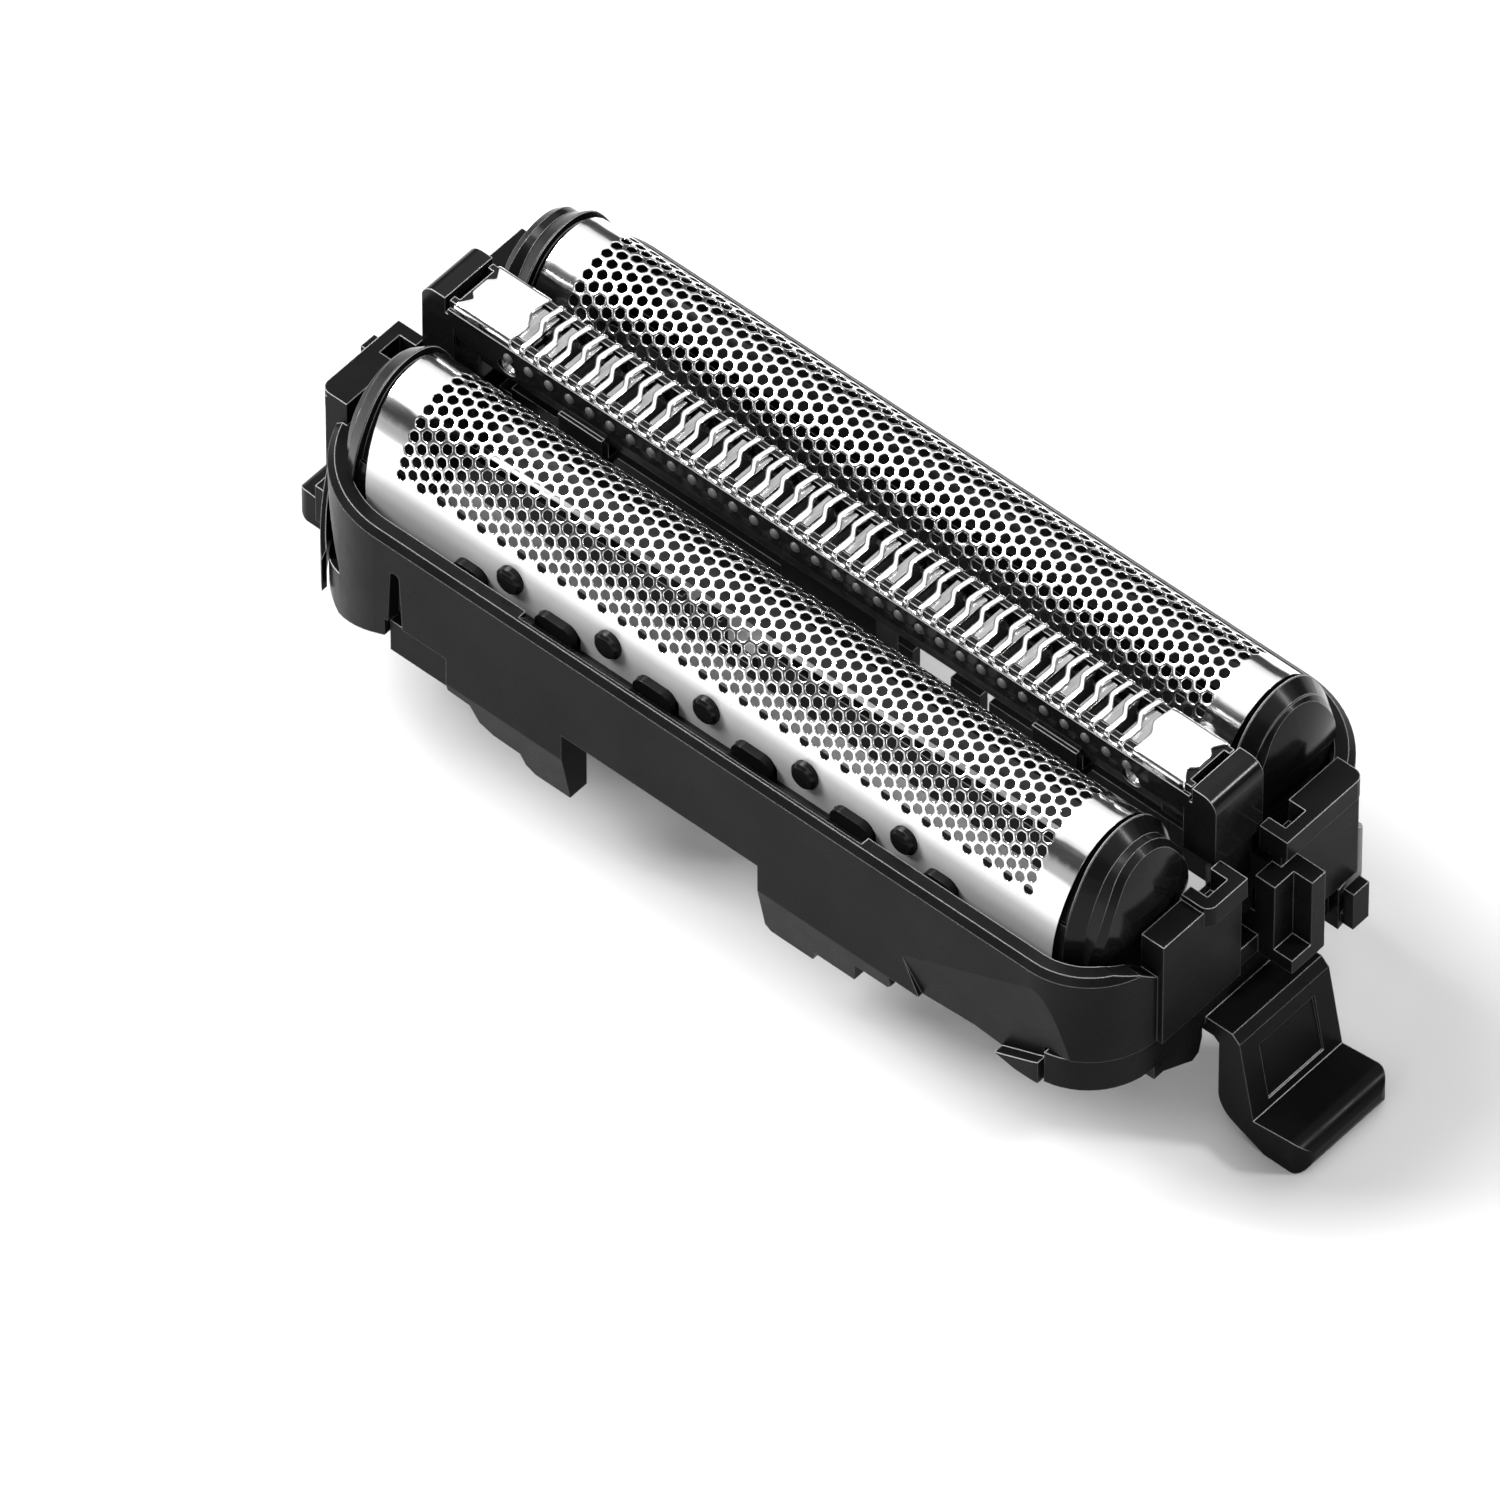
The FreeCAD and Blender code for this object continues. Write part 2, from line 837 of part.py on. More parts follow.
def release_tab():
    # Shelf out of the flange, arm down, foot out, drawn as one bent strip.
    inner_arm_x = tab_arm_x - tab_thickness
    root_x = frame_half_length - flange_inset - flange_wall
    points = [
        (root_x, tab_shelf_z),
        (tab_arm_x - tab_bevel, tab_shelf_z),
        (tab_arm_x, tab_shelf_z - tab_bevel),
        (tab_foot_x, tab_foot_z),
        (tab_tip_x, tab_tip_z),
        (tab_tip_x, 0.0),
        (tab_foot_x + tab_sole_run, 0.0),
        (inner_arm_x, tab_heel_z),
        (inner_arm_x, tab_shelf_z - tab_root_drop),
        (inner_arm_x - tab_root_run, flange_bottom_z - tab_root_sink),
        (root_x, flange_bottom_z - tab_root_sink),
    ]
    strip = prism_along_y(points, -tab_half_width, tab_half_width)
    tip_edges = [
        e for e in strip.Edges
        if min(v.X for v in e.Vertexes) > tab_tip_x - 0.01
    ]
    strip = strip.makeFillet(tab_tip_radius, tip_edges)
    heel_edge = [
        e for e in strip.Edges
        if abs(e.CenterOfMass.x - inner_arm_x) < 0.01
        and abs(e.CenterOfMass.z - tab_heel_z) < 0.01
    ]
    strip = strip.makeFillet(tab_heel_radius, heel_edge)
    panel_top_z = tab_shelf_z - tab_panel_drop
    panel_low_z = tab_foot_z + tab_panel_rise
    panel = prism_along_y(
        [
            (tab_arm_x + over, panel_top_z),
            (tab_arm_x - tab_panel_depth + tab_panel_lean, panel_top_z),
            (tab_foot_x - tab_panel_depth - tab_panel_sink, panel_low_z),
            (tab_foot_x + over, panel_low_z),
        ],
        -tab_panel_half_width, tab_panel_half_width,
    )
    return strip.cut(panel)


def side_clip():
    # Small clip that rises from the flange over the outer frame's end wall.
    y = block_half_span - clip_width
    outer = block_outer_x + clip_reach
    return block(
        block_outer_x + fit_gap, outer, y, y + clip_width,
        flange_bottom_z, flange_bottom_z + clip_height,
    ).fuse(block(
        wall_x, outer, y, y + clip_width,
        flange_bottom_z, flange_bottom_z + clip_foot,
    ))


def base_frame():
    shape = spigot_ring()
    shape = shape.fuse(both_ends(end_flange()))
    shape = shape.fuse(both_ends(end_apron()))
    shape = shape.fuse(both_ends(corner_lip()))
    shape = shape.fuse(both_ends(release_tab()))
    shape = shape.fuse(both_ends(side_clip()))
    return shape.removeSplitter()


def stud_stations():
    return [(i - stud_count // 2) * stud_pitch for i in range(stud_count)]


def foil_ends(centre_y):
    # Solid whose slanted ends trim the foil shorter at the hem than at the crest.
    low = foil_outer_hem_z - over
    reach = foil_end_slant * (foil_crest_z - low) / (
        foil_crest_z - foil_outer_hem_z
    )
    high = foil_crest_z + over
    top = foil_half_length + foil_end_slant / 5
    points = [
        (-top, high), (top, high),
        (foil_half_length - reach, low), (-foil_half_length + reach, low),
    ]
    side = foil_half_width + over
    return prism_along_y(points, centre_y - side, centre_y + side)


def foil_notch(x, centre_y):
    y = centre_y - foil_half_width
    flat = block(
        x - notch_half_width, x + notch_half_width, y - 1, y + 1,
        foil_outer_hem_z - 1, foil_outer_hem_z + notch_depth,
    )
    uprights = [
        e for e in flat.Edges
        if abs(e.tangentAt(e.FirstParameter).y) > 0.9
        and e.Vertexes[0].Z > foil_outer_hem_z
    ]
    return flat.makeFillet(notch_corner, uprights)


def foil_windows(row, centre_y):
    # One row of openings, square to the sheet, at its share of the arch.
    pitch = 2 * (foil_half_length - window_end_margin) / window_columns
    length = pitch * window_share_x
    width = window_row_pitch * window_share_arc
    first = -(window_columns - 1) / 2 * pitch
    row_of_blocks = Part.makeCompound([
        block(
            first + i * pitch - length / 2, first + i * pitch + length / 2,
            -width / 2, width / 2, -window_cut_depth, window_cut_depth,
        )
        for i in range(window_columns)
    ])
    run = row * window_row_pitch
    lean = math.atan2(crown_drop, foil_side_radius - foil_half_width)
    crown_run = foil_crown_radius * (math.pi / 2 - lean)
    if abs(run) < crown_run:
        angle = math.pi / 2 - abs(run) / foil_crown_radius
        reach = foil_crown_radius * math.cos(angle)
        rise = crown_drop + foil_crown_radius * math.sin(angle)
    else:
        angle = lean - (abs(run) - crown_run) / foil_side_radius
        reach = foil_face_reach(
            foil_axis_z + foil_side_radius * math.sin(angle)
        )
        rise = foil_side_radius * math.sin(angle)
    turn = math.copysign(90 - math.degrees(angle), -run)
    row_of_blocks.rotate(V(0, 0, 0), V(1, 0, 0), turn)
    row_of_blocks.translate(
        V(0, centre_y + math.copysign(reach, run), foil_axis_z + rise)
    )
    return row_of_blocks


def front_foil():
    y = -foil_spacing
    long = foil_half_length + 1
    skin = arch(0, -long, long, y, foil_outer_hem_z)
    core = arch(-foil_sheet, -long - 1, long + 1, y, foil_outer_hem_z - 1)
    foil = skin.cut(core).common(foil_ends(y))
    foil = foil.cut(block(
        -long, long, y + 1, y + foil_spacing, foil_outer_hem_z - 1,
        foil_inner_hem_z,
    ))
    for x in stud_stations():
        hole = Part.makeCylinder(
            stud_shank_radius, 2, V(x, y - foil_half_width - 1, stud_z), V(0, 1, 0)
        )
        foil = foil.cut(hole)
    for x in stud_stations()[:-1]:
        foil = foil.cut(foil_notch(x + stud_pitch / 2, y))
    for i in range(window_rows):
        foil = foil.cut(foil_windows(i - (window_rows - 1) / 2, y))
    return foil


def cap_end(y, band, reach):
    # A band with a falling crown, and the bulging end face inside it.
    start = foil_half_length + groove_width
    crease = start + band
    tip = foil_half_length + reach
    collar = arch(cap_proud, start, crease, y, rail_bottom_z)
    rim = [
        e for e in collar.Edges
        if min(v.X for v in e.Vertexes) > crease - 0.01
        and max(v.Z for v in e.Vertexes) > rail_bottom_z + 0.5
    ]
    collar = collar.makeChamfer(band * cap_band_slope_share, cap_band_fall, rim)
    back = foil_half_length - arch_rib_length
    face = arch(cap_proud - cap_band_fall, back, tip, y, rail_bottom_z)
    dome = Part.makeSphere(
        cap_dome_radius, V(tip - cap_dome_radius, y, foil_axis_z + cap_dome_rise)
    )
    face = face.common(dome)
    edge = [
        e for e in face.Edges
        if min(v.X for v in e.Vertexes) > back + 0.1
        and max(v.Z for v in e.Vertexes) > rail_bottom_z + 0.5
    ]
    return collar.fuse(face.makeChamfer(cap_edge_bevel, edge))


def arch_rib(y):
    # Half ring that carries the foil's end from inside and fills the groove.
    start = foil_half_length - arch_rib_length
    middle = foil_half_length - foil_end_slant
    end = foil_half_length + groove_width
    outer = arch(-foil_sheet, start, middle, y, rail_bottom_z)
    groove = arch(-groove_depth, middle, end, y, rail_bottom_z)
    inner = arch(
        -foil_sheet - rail_thickness, start - 1, end, y, rail_bottom_z - 1
    )
    return outer.fuse(groove).cut(inner)


def holder_rails(y):
    # The rails follow the inside of the arch, and the ledge carries its hem.
    start = foil_half_length + groove_width + 0.2
    rails = arch(-foil_sheet, -start, start, y, rail_bottom_z)
    rails = rails.cut(
        arch(-foil_sheet - rail_thickness, -far, far, y, rail_bottom_z - 1)
    )
    rails = rails.common(block(-far, far, -far, far, 0, rail_top_z))
    lip_y = y - foil_half_width - lip_thickness
    ledge = block(
        -foil_half_length + ledge_end_margin, foil_half_length - ledge_end_margin,
        lip_y, y - foil_half_width + foil_sheet + lap,
        rail_bottom_z, foil_outer_hem_z,
    )
    return rails.fuse(ledge)


def lip_tab(x, y, half_width, height):
    # Rounded tab of the ledge that laps the foil's hem from outside.
    lip_y = y - foil_half_width - lip_thickness
    tab = block(
        x - half_width, x + half_width, lip_y, lip_y + lip_thickness,
        rail_bottom_z, height,
    )
    corners = [
        e for e in tab.Edges
        if abs(e.tangentAt(e.FirstParameter).y) > 0.9
        and e.Vertexes[0].Z > height - 0.01
    ]
    return tab.makeFillet(lip_corner, corners)


def stud(x, y):
    # Heat-formed stud: a shank through the foil and a bevelled head that beds
    # on the foil's curve.
    face = y - foil_face_reach(stud_z)
    shank = Part.makeCylinder(
        stud_shank_radius, lap + foil_sheet + stud_root,
        V(x, face - lap, stud_z), V(0, 1, 0),
    )
    head = Part.makeCylinder(
        stud_head_radius, stud_head_height + stud_head_bed,
        V(x, face - stud_head_height, stud_z), V(0, 1, 0),
    )
    outer = [
        e for e in head.Edges
        if e.BoundBox.YMax < face - stud_head_height + stud_head_bevel
    ]
    head = head.makeChamfer(stud_head_bevel, outer)
    foil = arch(0, x - over, x + over, y, foil_outer_hem_z)
    return shank.fuse(head.cut(foil))


def end_leg(y):
    tip = wall_x - slide_gap
    leg = block(
        end_leg_start_x, tip, y - end_leg_half_width, y + end_leg_half_width,
        leg_floor_z, rail_bottom_z + lap,
    )
    lug = block(
        tip, tip + lug_length, y - lug_half_width, y + lug_half_width,
        leg_floor_z + lug_lift, lug_top_z,
    )
    return leg.fuse(lug)


def front_foil_holder():
    y = -foil_spacing
    shape = holder_rails(y)
    for x in stud_stations():
        shape = shape.fuse(stud(x, y))
    for x in stud_stations()[:-1]:
        shape = shape.fuse(lip_tab(
            x + stud_pitch / 2, y, notch_half_width - tab_clearance,
            foil_outer_hem_z + lip_rise,
        ))
    for x in stud_stations()[0], stud_stations()[-1]:
        reach = math.copysign(stud_pitch / 2 - end_lip_inset, x)
        shape = shape.fuse(lip_tab(
            x + reach, y, end_lip_half_width, foil_outer_hem_z + end_lip_rise,
        ))
    inside = arch_rib(y).fuse(end_leg(y))
    right = inside.fuse(cap_end(y, long_cap_band, long_cap_reach))
    left = inside.fuse(cap_end(y, short_cap_band, short_cap_reach))
    shape = shape.fuse(right).fuse(mirrored_x(left))
    room = plan_slab(frame_wall + slide_gap, 0, rim_z + slide_gap)
    above = block(-far, far, -far, far, rim_z + slide_gap, far)
    lugs = block(
        -far, far, y - lug_half_width, y + lug_half_width, 0, lug_top_z,
    )
    return shape.common(room.fuse(above).fuse(lugs)).removeSplitter()


def slit_channel():
    top = block(
        -slit_half_length, slit_half_length, -slit_half_width, slit_half_width,
        slit_top_z - slit_hem, slit_top_z,
    )
    under = block(
        -slit_half_length - 1, slit_half_length + 1,
        -slit_half_width + slit_sheet, slit_half_width - slit_sheet,
        slit_top_z - slit_hem - 1, slit_top_z - slit_sheet,
    )
    long_edges = [
        e for e in top.Edges
        if abs(e.tangentAt(e.FirstParameter).x) > 0.9
        and e.Vertexes[0].Z > slit_top_z - 0.01
    ]
    return top.makeChamfer(slit_bend, long_edges).cut(under)


def s_slit(x):
    half = slit_opening / 2
    run = slit_jog_half_run
    front = -slit_half_width - 1
    rear = slit_half_width - slit_rear_margin
    left = [
        V(x - half, front, 0), V(x - half, -run, 0),
        V(x - half - slit_jog, run, 0), V(x - half - slit_jog, rear, 0),
    ]
    right = [V(p.x + slit_opening, p.y, 0) for p in reversed(left)]
    points = left + right
    face = Part.Face(Part.makePolygon(points + points[:1]))
    face.translate(V(0, 0, slit_top_z - slit_front_drop))
    return face.extrude(V(0, 0, slit_front_drop + 1))


def end_trim():
    # Two dents beside a short tongue shape the strip's plain end.
    x = slit_half_length
    half = slit_half_width
    tip = end_tip_width
    points = [
        V(x + over, -half - over, 0), V(x, -half - over, 0), V(x, -half + tip, 0),
        V(x - dent_depth, -dent_y, 0), V(x - tongue_set, -tongue_half_width, 0),
        V(x - tongue_set, tongue_half_width, 0), V(x - dent_depth, dent_y, 0),
        V(x, half - tip, 0), V(x, half + over, 0), V(x + over, half + over, 0),
    ]
    face = Part.Face(Part.makePolygon(points + points[:1]))
    face.translate(V(0, 0, slit_top_z - slit_hem - 1))
    return face.extrude(V(0, 0, slit_hem + 2))


def slit_foil():
    shape = slit_channel()
    first = -(slit_count - 1) * slit_pitch / 2 + slit_jog / 2
    slits = [s_slit(first + i * slit_pitch) for i in range(slit_count)]
    shape = shape.cut(Part.makeCompound(slits))
    return shape.cut(both_ends(end_trim()))


def slit_beam():
    # Long bar under the foil's front edge, rebated to take the folded hem.
    outer = -slit_half_width
    hem = slit_top_z - slit_hem
    length = slit_half_length + bar_overlap
    inner = outer + slit_sheet + bar_wall
    low = prism_along_x(
        [
            (outer, hem), (outer, bar_front_z),
            (outer + bar_bend_lean_share * bar_lean, bar_bend_z),
            (outer + bar_lean, bar_bottom_z), (inner, bar_bottom_z), (inner, hem),
        ],
        -length, length,
    )
    high = block(
        -length, length, outer + slit_sheet, inner,
        hem - lap, slit_top_z - slit_sheet,
    )
    return low.fuse(high)


def slit_end():
    # Rounded end block past a narrow gap, the pad, and the guide stem.
    start = slit_half_length
    solid = block(
        start + end_block_gap, end_block_tip_x,
        -slit_half_width, slit_half_width, end_block_bottom_z, slit_top_z,
    )
    crown = [
        e for e in solid.Edges
        if min(v.X for v in e.Vertexes) > end_block_tip_x - 0.01
        and min(v.Z for v in e.Vertexes) > slit_top_z - 0.01
    ]
    solid = solid.makeFillet(end_block_round, crown)
    pad = block(
        comb_half_length + stroke + stroke_clearance, start,
        -slit_half_width + slit_sheet, slit_half_width - slit_sheet,
        bar_bottom_z, slit_top_z - slit_sheet,
    )
    step = block(
        start, start + end_block_gap + end_block_round / 2,
        -slit_half_width, slit_half_width,
        end_block_bottom_z, slit_top_z - end_block_step,
    )
    tip = wall_x - slide_gap
    stem = block(
        stem_start_x, tip, -stem_half_width, stem_half_width,
        leg_floor_z, end_block_bottom_z + lap,
    )
    ears = block(
        stem_start_x, tip + lug_length, -ear_half_width, ear_half_width,
        ear_top_z - ear_height, ear_top_z,
    )
    return solid.fuse(step).fuse(pad).fuse(stem).fuse(ears)


def spring_bridge():
    half = slit_half_width
    floor = block(
        bridge_x - bridge_half_length, bridge_x + bridge_half_length,
        -half, half, bridge_z, bridge_z + bridge_thickness,
    )
    for side in (-1, 1):
        y0 = side * half
        y1 = side * (half - bar_wall - slit_sheet)
        floor = floor.fuse(block(
            bridge_x - bridge_half_length, bridge_x + bridge_half_length,
            min(y0, y1), max(y0, y1), bridge_z, bar_bottom_z + lap,
        ))
    return floor


def pin_cut(x):
    # Stepped hole across the bar: a narrow bore and a seat for each head.
    bore = Part.makeCylinder(
        pin_radius, 2 * slit_half_width + 2,
        V(x, -slit_half_width - 1, pin_z), V(0, 1, 0),
    )
    seat = Part.makeCylinder(
        pin_head_radius, 1 + pin_head_sink + pin_head_length,
        V(x, -slit_half_width - 1, pin_z), V(0, 1, 0),
    )
    return bore.fuse(seat).fuse(mirrored_y(seat))


def slit_foil_holder():
    beam = slit_beam()
    shape = beam.fuse(turned(beam))
    shape = shape.fuse(both_ends(slit_end()))
    shape = shape.fuse(both_ends(spring_bridge()))
    for x in (-pin_x, pin_x):
        shape = shape.cut(pin_cut(x))
    return shape.removeSplitter()


def slit_pin(x):
    # Cross pin whose two heads are cupped.
    half = slit_half_width - pin_head_sink
    start = V(x, -half, pin_z)
    shank = Part.makeCylinder(pin_radius, 2 * half, start, V(0, 1, 0))
    head = Part.makeCylinder(pin_head_radius, pin_head_length, start, V(0, 1, 0))
    cup = Part.makeCylinder(
        pin_cup_radius, over + pin_cup_depth, V(x, -half - over, pin_z), V(0, 1, 0)
    )
    pin = shank.fuse(head).fuse(mirrored_y(head))
    return pin.cut(cup).cut(mirrored_y(cup))


def coil_spring(x):
    floor = bridge_z + bridge_thickness
    # Wound from flat wire, and free of the carrier that slides over it.
    height = carrier_bottom_z - floor - spring_wire - spring_clearance
    helix = Part.makeHelix(height / spring_turns, height, spring_radius)
    helix.translate(V(x, 0, floor))
    inner = x + spring_radius
    outer = inner + spring_wire
    section = Part.makePolygon([
        V(inner, 0, floor), V(outer, 0, floor), V(outer, 0, floor + spring_wire),
        V(inner, 0, floor + spring_wire), V(inner, 0, floor),
    ])
    return Part.Wire(helix.Edges).makePipeShell([section], True, True)


def slit_blade():
    half = comb_half_width
    top_z = slit_top_z - slit_sheet - comb_gap
    top = block(
        -comb_half_length, comb_half_length, -half, half,
        top_z - comb_side, top_z,
    )
    under = block(
        -comb_half_length - 1, comb_half_length + 1,
        -half + comb_sheet, half - comb_sheet,
        top_z - comb_side - 1, top_z - comb_sheet,
    )
    shape = top.cut(under)
    first = -(comb_count - 1) * comb_pitch / 2
    gaps = []
    for i in range(comb_count):
        x = first + i * comb_pitch
        gaps.append(block(
            x - comb_opening / 2, x + comb_opening / 2, -3, 3,
            top_z - comb_slot_depth, top_z + over,
        ))
    return shape.cut(Part.makeCompound(gaps))


def slit_blade_carrier():
    half = comb_half_width - comb_sheet
    top = slit_top_z - slit_sheet - comb_gap - carrier_seat_drop
    body = block(
        -carrier_half_length, carrier_half_length,
        -half, half, carrier_bottom_z, top,
    )
    drive = block(
        -drive_half_length, drive_half_length, -half, half,
        drive_bottom_z, carrier_bottom_z + lap,
    )
    fork = block(
        -fork_half_gap, fork_half_gap, -3, 3,
        drive_bottom_z - 1, drive_bottom_z + fork_depth,
    )
    return body.fuse(drive).cut(fork).removeSplitter()


def main():
    os.makedirs("parts", exist_ok=True)
    foil = front_foil()
    holder = front_foil_holder()
    pieces = {
        "outer_frame": outer_frame(),
        "base_frame": base_frame(),
        "front_foil": foil,
        "rear_foil": turned(foil),
        "front_foil_holder": holder,
        "rear_foil_holder": turned(holder),
        "slit_foil": slit_foil(),
        "slit_foil_holder": slit_foil_holder(),
        "slit_pin_left": slit_pin(-pin_x),
        "slit_pin_right": slit_pin(pin_x),
        "slit_spring_left": coil_spring(-bridge_x),
        "slit_spring_right": coil_spring(bridge_x),
        "slit_blade": slit_blade(),
        "slit_blade_carrier": slit_blade_carrier(),
    }
    for name, shape in pieces.items():
        shape.exportStep("parts/" + name + ".step")
        print(name, len(shape.Solids), shape.isValid(), round(shape.Volume, 2))


main()
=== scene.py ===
import math
import bmesh
import bpy
from mathutils import Matrix, Vector

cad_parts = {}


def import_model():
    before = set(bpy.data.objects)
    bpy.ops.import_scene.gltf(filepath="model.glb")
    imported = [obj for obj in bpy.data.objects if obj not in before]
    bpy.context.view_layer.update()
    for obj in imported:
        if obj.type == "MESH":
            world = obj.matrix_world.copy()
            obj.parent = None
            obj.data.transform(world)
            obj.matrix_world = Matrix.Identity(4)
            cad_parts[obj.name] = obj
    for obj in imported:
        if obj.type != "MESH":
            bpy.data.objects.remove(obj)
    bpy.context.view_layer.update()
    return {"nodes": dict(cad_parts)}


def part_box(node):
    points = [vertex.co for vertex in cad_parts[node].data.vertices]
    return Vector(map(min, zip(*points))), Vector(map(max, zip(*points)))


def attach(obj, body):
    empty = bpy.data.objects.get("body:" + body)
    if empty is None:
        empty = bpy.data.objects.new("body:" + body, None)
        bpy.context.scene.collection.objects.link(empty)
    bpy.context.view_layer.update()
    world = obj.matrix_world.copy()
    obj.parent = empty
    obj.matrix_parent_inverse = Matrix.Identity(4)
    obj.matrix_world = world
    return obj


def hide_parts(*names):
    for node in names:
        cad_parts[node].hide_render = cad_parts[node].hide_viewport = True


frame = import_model()
NODES = frame["nodes"]

# Sizes below are in millimetres, which MM turns into Blender's metres. A value named
# SHARP is in degrees: an edge that turns further than that isn't shaded smooth
MM = 0.001


def box_mm(node):
    """A node's lowest and highest corners, in millimetres."""
    low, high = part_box(node)
    return low / MM, high / MM


# Sizes read from the frame
foil_low, foil_high = box_mm("front_foil")
slit_low, slit_high = box_mm("slit_foil")
CREST = foil_high.z
OUTER_HEM = foil_low.z
SLIT_TOP = slit_high.z
SLIT_HEM = slit_high.z - slit_low.z
SLIT_HALF_LENGTH = slit_high.x
SLIT_HALF_WIDTH = slit_high.y

# Section of the main foils: a crown arc between two side arcs, over straight hems
FOIL_Y = 5.0
FOIL_RISE = 5.2
CROWN_RADIUS = 2.5
INNER_HEM_RISE = 0.65
FOIL_HALF_WIDTH = -foil_low.y - FOIL_Y
FOIL_AXIS = CREST - FOIL_RISE
CROWN_DROP = FOIL_RISE - CROWN_RADIUS
SIDE_RADIUS = (FOIL_HALF_WIDTH ** 2 + CROWN_DROP ** 2 - CROWN_RADIUS ** 2) / (
    2 * (FOIL_HALF_WIDTH - CROWN_RADIUS)
)
LEAN = math.atan2(CROWN_DROP, SIDE_RADIUS - FOIL_HALF_WIDTH)
CROWN_ARC = CROWN_RADIUS * (math.pi / 2 - LEAN)
SIDE_ARC = SIDE_RADIUS * LEAN

# Sheet of the main foils, and the plain ends that slant in towards the hem
FOIL_SKIN = 0.06
FOIL_END_GAP = 0.03
FOIL_HALF_LENGTH = foil_high.x - FOIL_END_GAP
FOIL_SLANT = 0.4
FOIL_SHARP = 48

# Hole pattern of the main foils, in hexagonal cells
PITCH = 0.64
COLUMN_STEP = PITCH * math.cos(math.pi / 6)
CELL_CORNER = PITCH / 2 / math.cos(math.pi / 6)
CELL_POINTS = 12
COLUMNS = 63
ROWS = 14
HOLE_CORNER = 0.26
HOLE_FLAT = 0.238
LIP_WIDTH = 0.04
LIP_DROP = 0.016
PLAIN_MARGIN = 0.4
PLAIN_FROM = COLUMNS // 2 * COLUMN_STEP + PLAIN_MARGIN

# Notches in the front hem, between the studs
STUD_PITCH = 5.4
NOTCHES = (-1.5, -0.5, 0.5, 1.5)
NOTCH_HALF_WIDTH = 1.15
NOTCH_DEPTH = 0.95
NOTCH_CORNER = 0.45
NOTCH_CUTS = 3
NOTCH_REACH = 1.0

# How near points of the flat sheet count as one, as on a plane, or as in the last row
MERGE = 1e-4
ON_PLANE = 1e-5
ON_LIMIT = 0.01

# Slit foil: a folded strip with slits from fold to fold
SLIT_SKIN = 0.2
SLIT_BEND = 0.3
SLIT_COUNT = 44
SLIT_PITCH = 0.78
SLIT_SHIFT = 0.16
SLIT_OPEN = 0.5
SLIT_END_SHARE = 0.82
BAR_ROUNDING = 0.085
BAR_SEGMENTS = 3
BAR_SHARP = 50

# Sideways steps of the slits: where across the strip, over what run, how far
SLIT_STEPS = ((-0.38, 0.72, -0.36), (0.3, 1.1, 0.13))

# Points of the strip's section, and those of its hems that the slits leave whole
HEM_POINTS = 4
BEND_POINTS = 5
TOP_POINTS = 26
WHOLE_IN_FRONT = 2
WHOLE_BEHIND = 3
PAD_PIECES = 6

# Plain ends of the strip: a dent on each side of a tongue, and a tip at each corner
DENT_DEPTH = 0.4
DENT_Y = 0.75
TONGUE_SET = 0.12
TONGUE_HALF_WIDTH = 0.42
TIP_WIDTH = 0.1

# Pips along the slit holder's bars
PIP_PITCH = 1.13
PIP_COUNT = 31
PIP_RADIUS = 0.27
PIP_HEIGHT = 0.12
PIP_DROP = 1.2
PIP_SUNK = 0.02
PIP_RINGS = 3
PIP_SIDES = 14
PIP_SHARP = 60

# Coil springs, closer wound at their two ends
COIL_RADIUS = 0.7
COIL_WIRE = 0.085
COIL_TURNS = 3.6
COIL_HEADROOM = 0.18
COIL_CLOSED = 0.05
COIL_POINTS = 150
COIL_SIDES = 8
COIL_SHARP = 50

# Edges of the plastic: shading radius, how much turning of the normal is an edge, and a
# painted highlight on the edges, strongest on those that look up
EDGE_RADIUS = 0.08
EDGE_FROM = 0.02
EDGE_TO = 0.12
EDGE_POLISH = 0.45
UPWARD_FROM = 0.1
UPWARD_TO = 0.7
SIDEWAYS_SHARE = 0.12

# Sizes of the patterns in the materials, as noise scales per metre
MOTTLE_SCALE = 260
SHEEN_SCALE = 900
GRAIN_SCALE = 9000
STREAK_SCALE = 1400
FLOOR_SCALE = 6

# Relief, in millimetres
GRAIN_DEPTH = 0.004
STREAK_DEPTH = 0.002
STEEL_EDGE = 0.03

# How far roughness strays below and above a material's own
ROUGH_BELOW = 0.04
ROUGH_ABOVE = 0.05

# Heights over which the painted highlight on the holders' edges sets in, and the etched hem
# ends
EDGE_HIGHLIGHT_HEIGHTS = (13.8, 15.8)
SATIN = (13.8, 14.9)
SATIN_TONE = 0.42
SATIN_METAL = 0.25
SATIN_ROUGH = 0.3

# Camera, at the photograph's angle. Its focal length and image are in pixels, its
# scale in pixels to the millimetre, and the slit foil's middle is at the aim's pixel
AZIMUTH = math.radians(41.1)
ELEVATION = math.radians(49.3)
IMAGE = 1500
FOCAL = 30000.0
SCALE = 24.2
AIM_U = 839.75
AIM_V = 521.0
SENSOR = 36

# Floor in millimetres, and the sky's stops of height and brightness, tilted to the back
FLOOR_HALF = 3000
FLOOR_TONE = 0.62
FLOOR_STRAY = 0.01
SKY_TILT = (0, 0.17, 1)
SKY_STOPS = ((0.0, 0.45), (0.1, 0.05), (0.53, 0.05), (0.57, 0.78), (0.64, 0.95), (0.8, 1.25))

# Softboxes in metres: azimuth and elevation in degrees, side, power in watts
LIGHT_DISTANCE = 1.5
LIGHT_AIM_Z = 0.01
LIGHTS = {
    "key": (-80, 52, 0.6, 19),
    "side": (-60, 38, 0.5, 26),
    "front": (12, 30, 0.5, 2.5),
    "rim": (128, 38, 0.2, 10),
}


def grey(value):
    return (value, value, value)


def smooth(t):
    """Eases from 0 to 1, level at both ends."""
    t = min(1.0, max(0.0, t))
    return t * t * (3 - 2 * t)


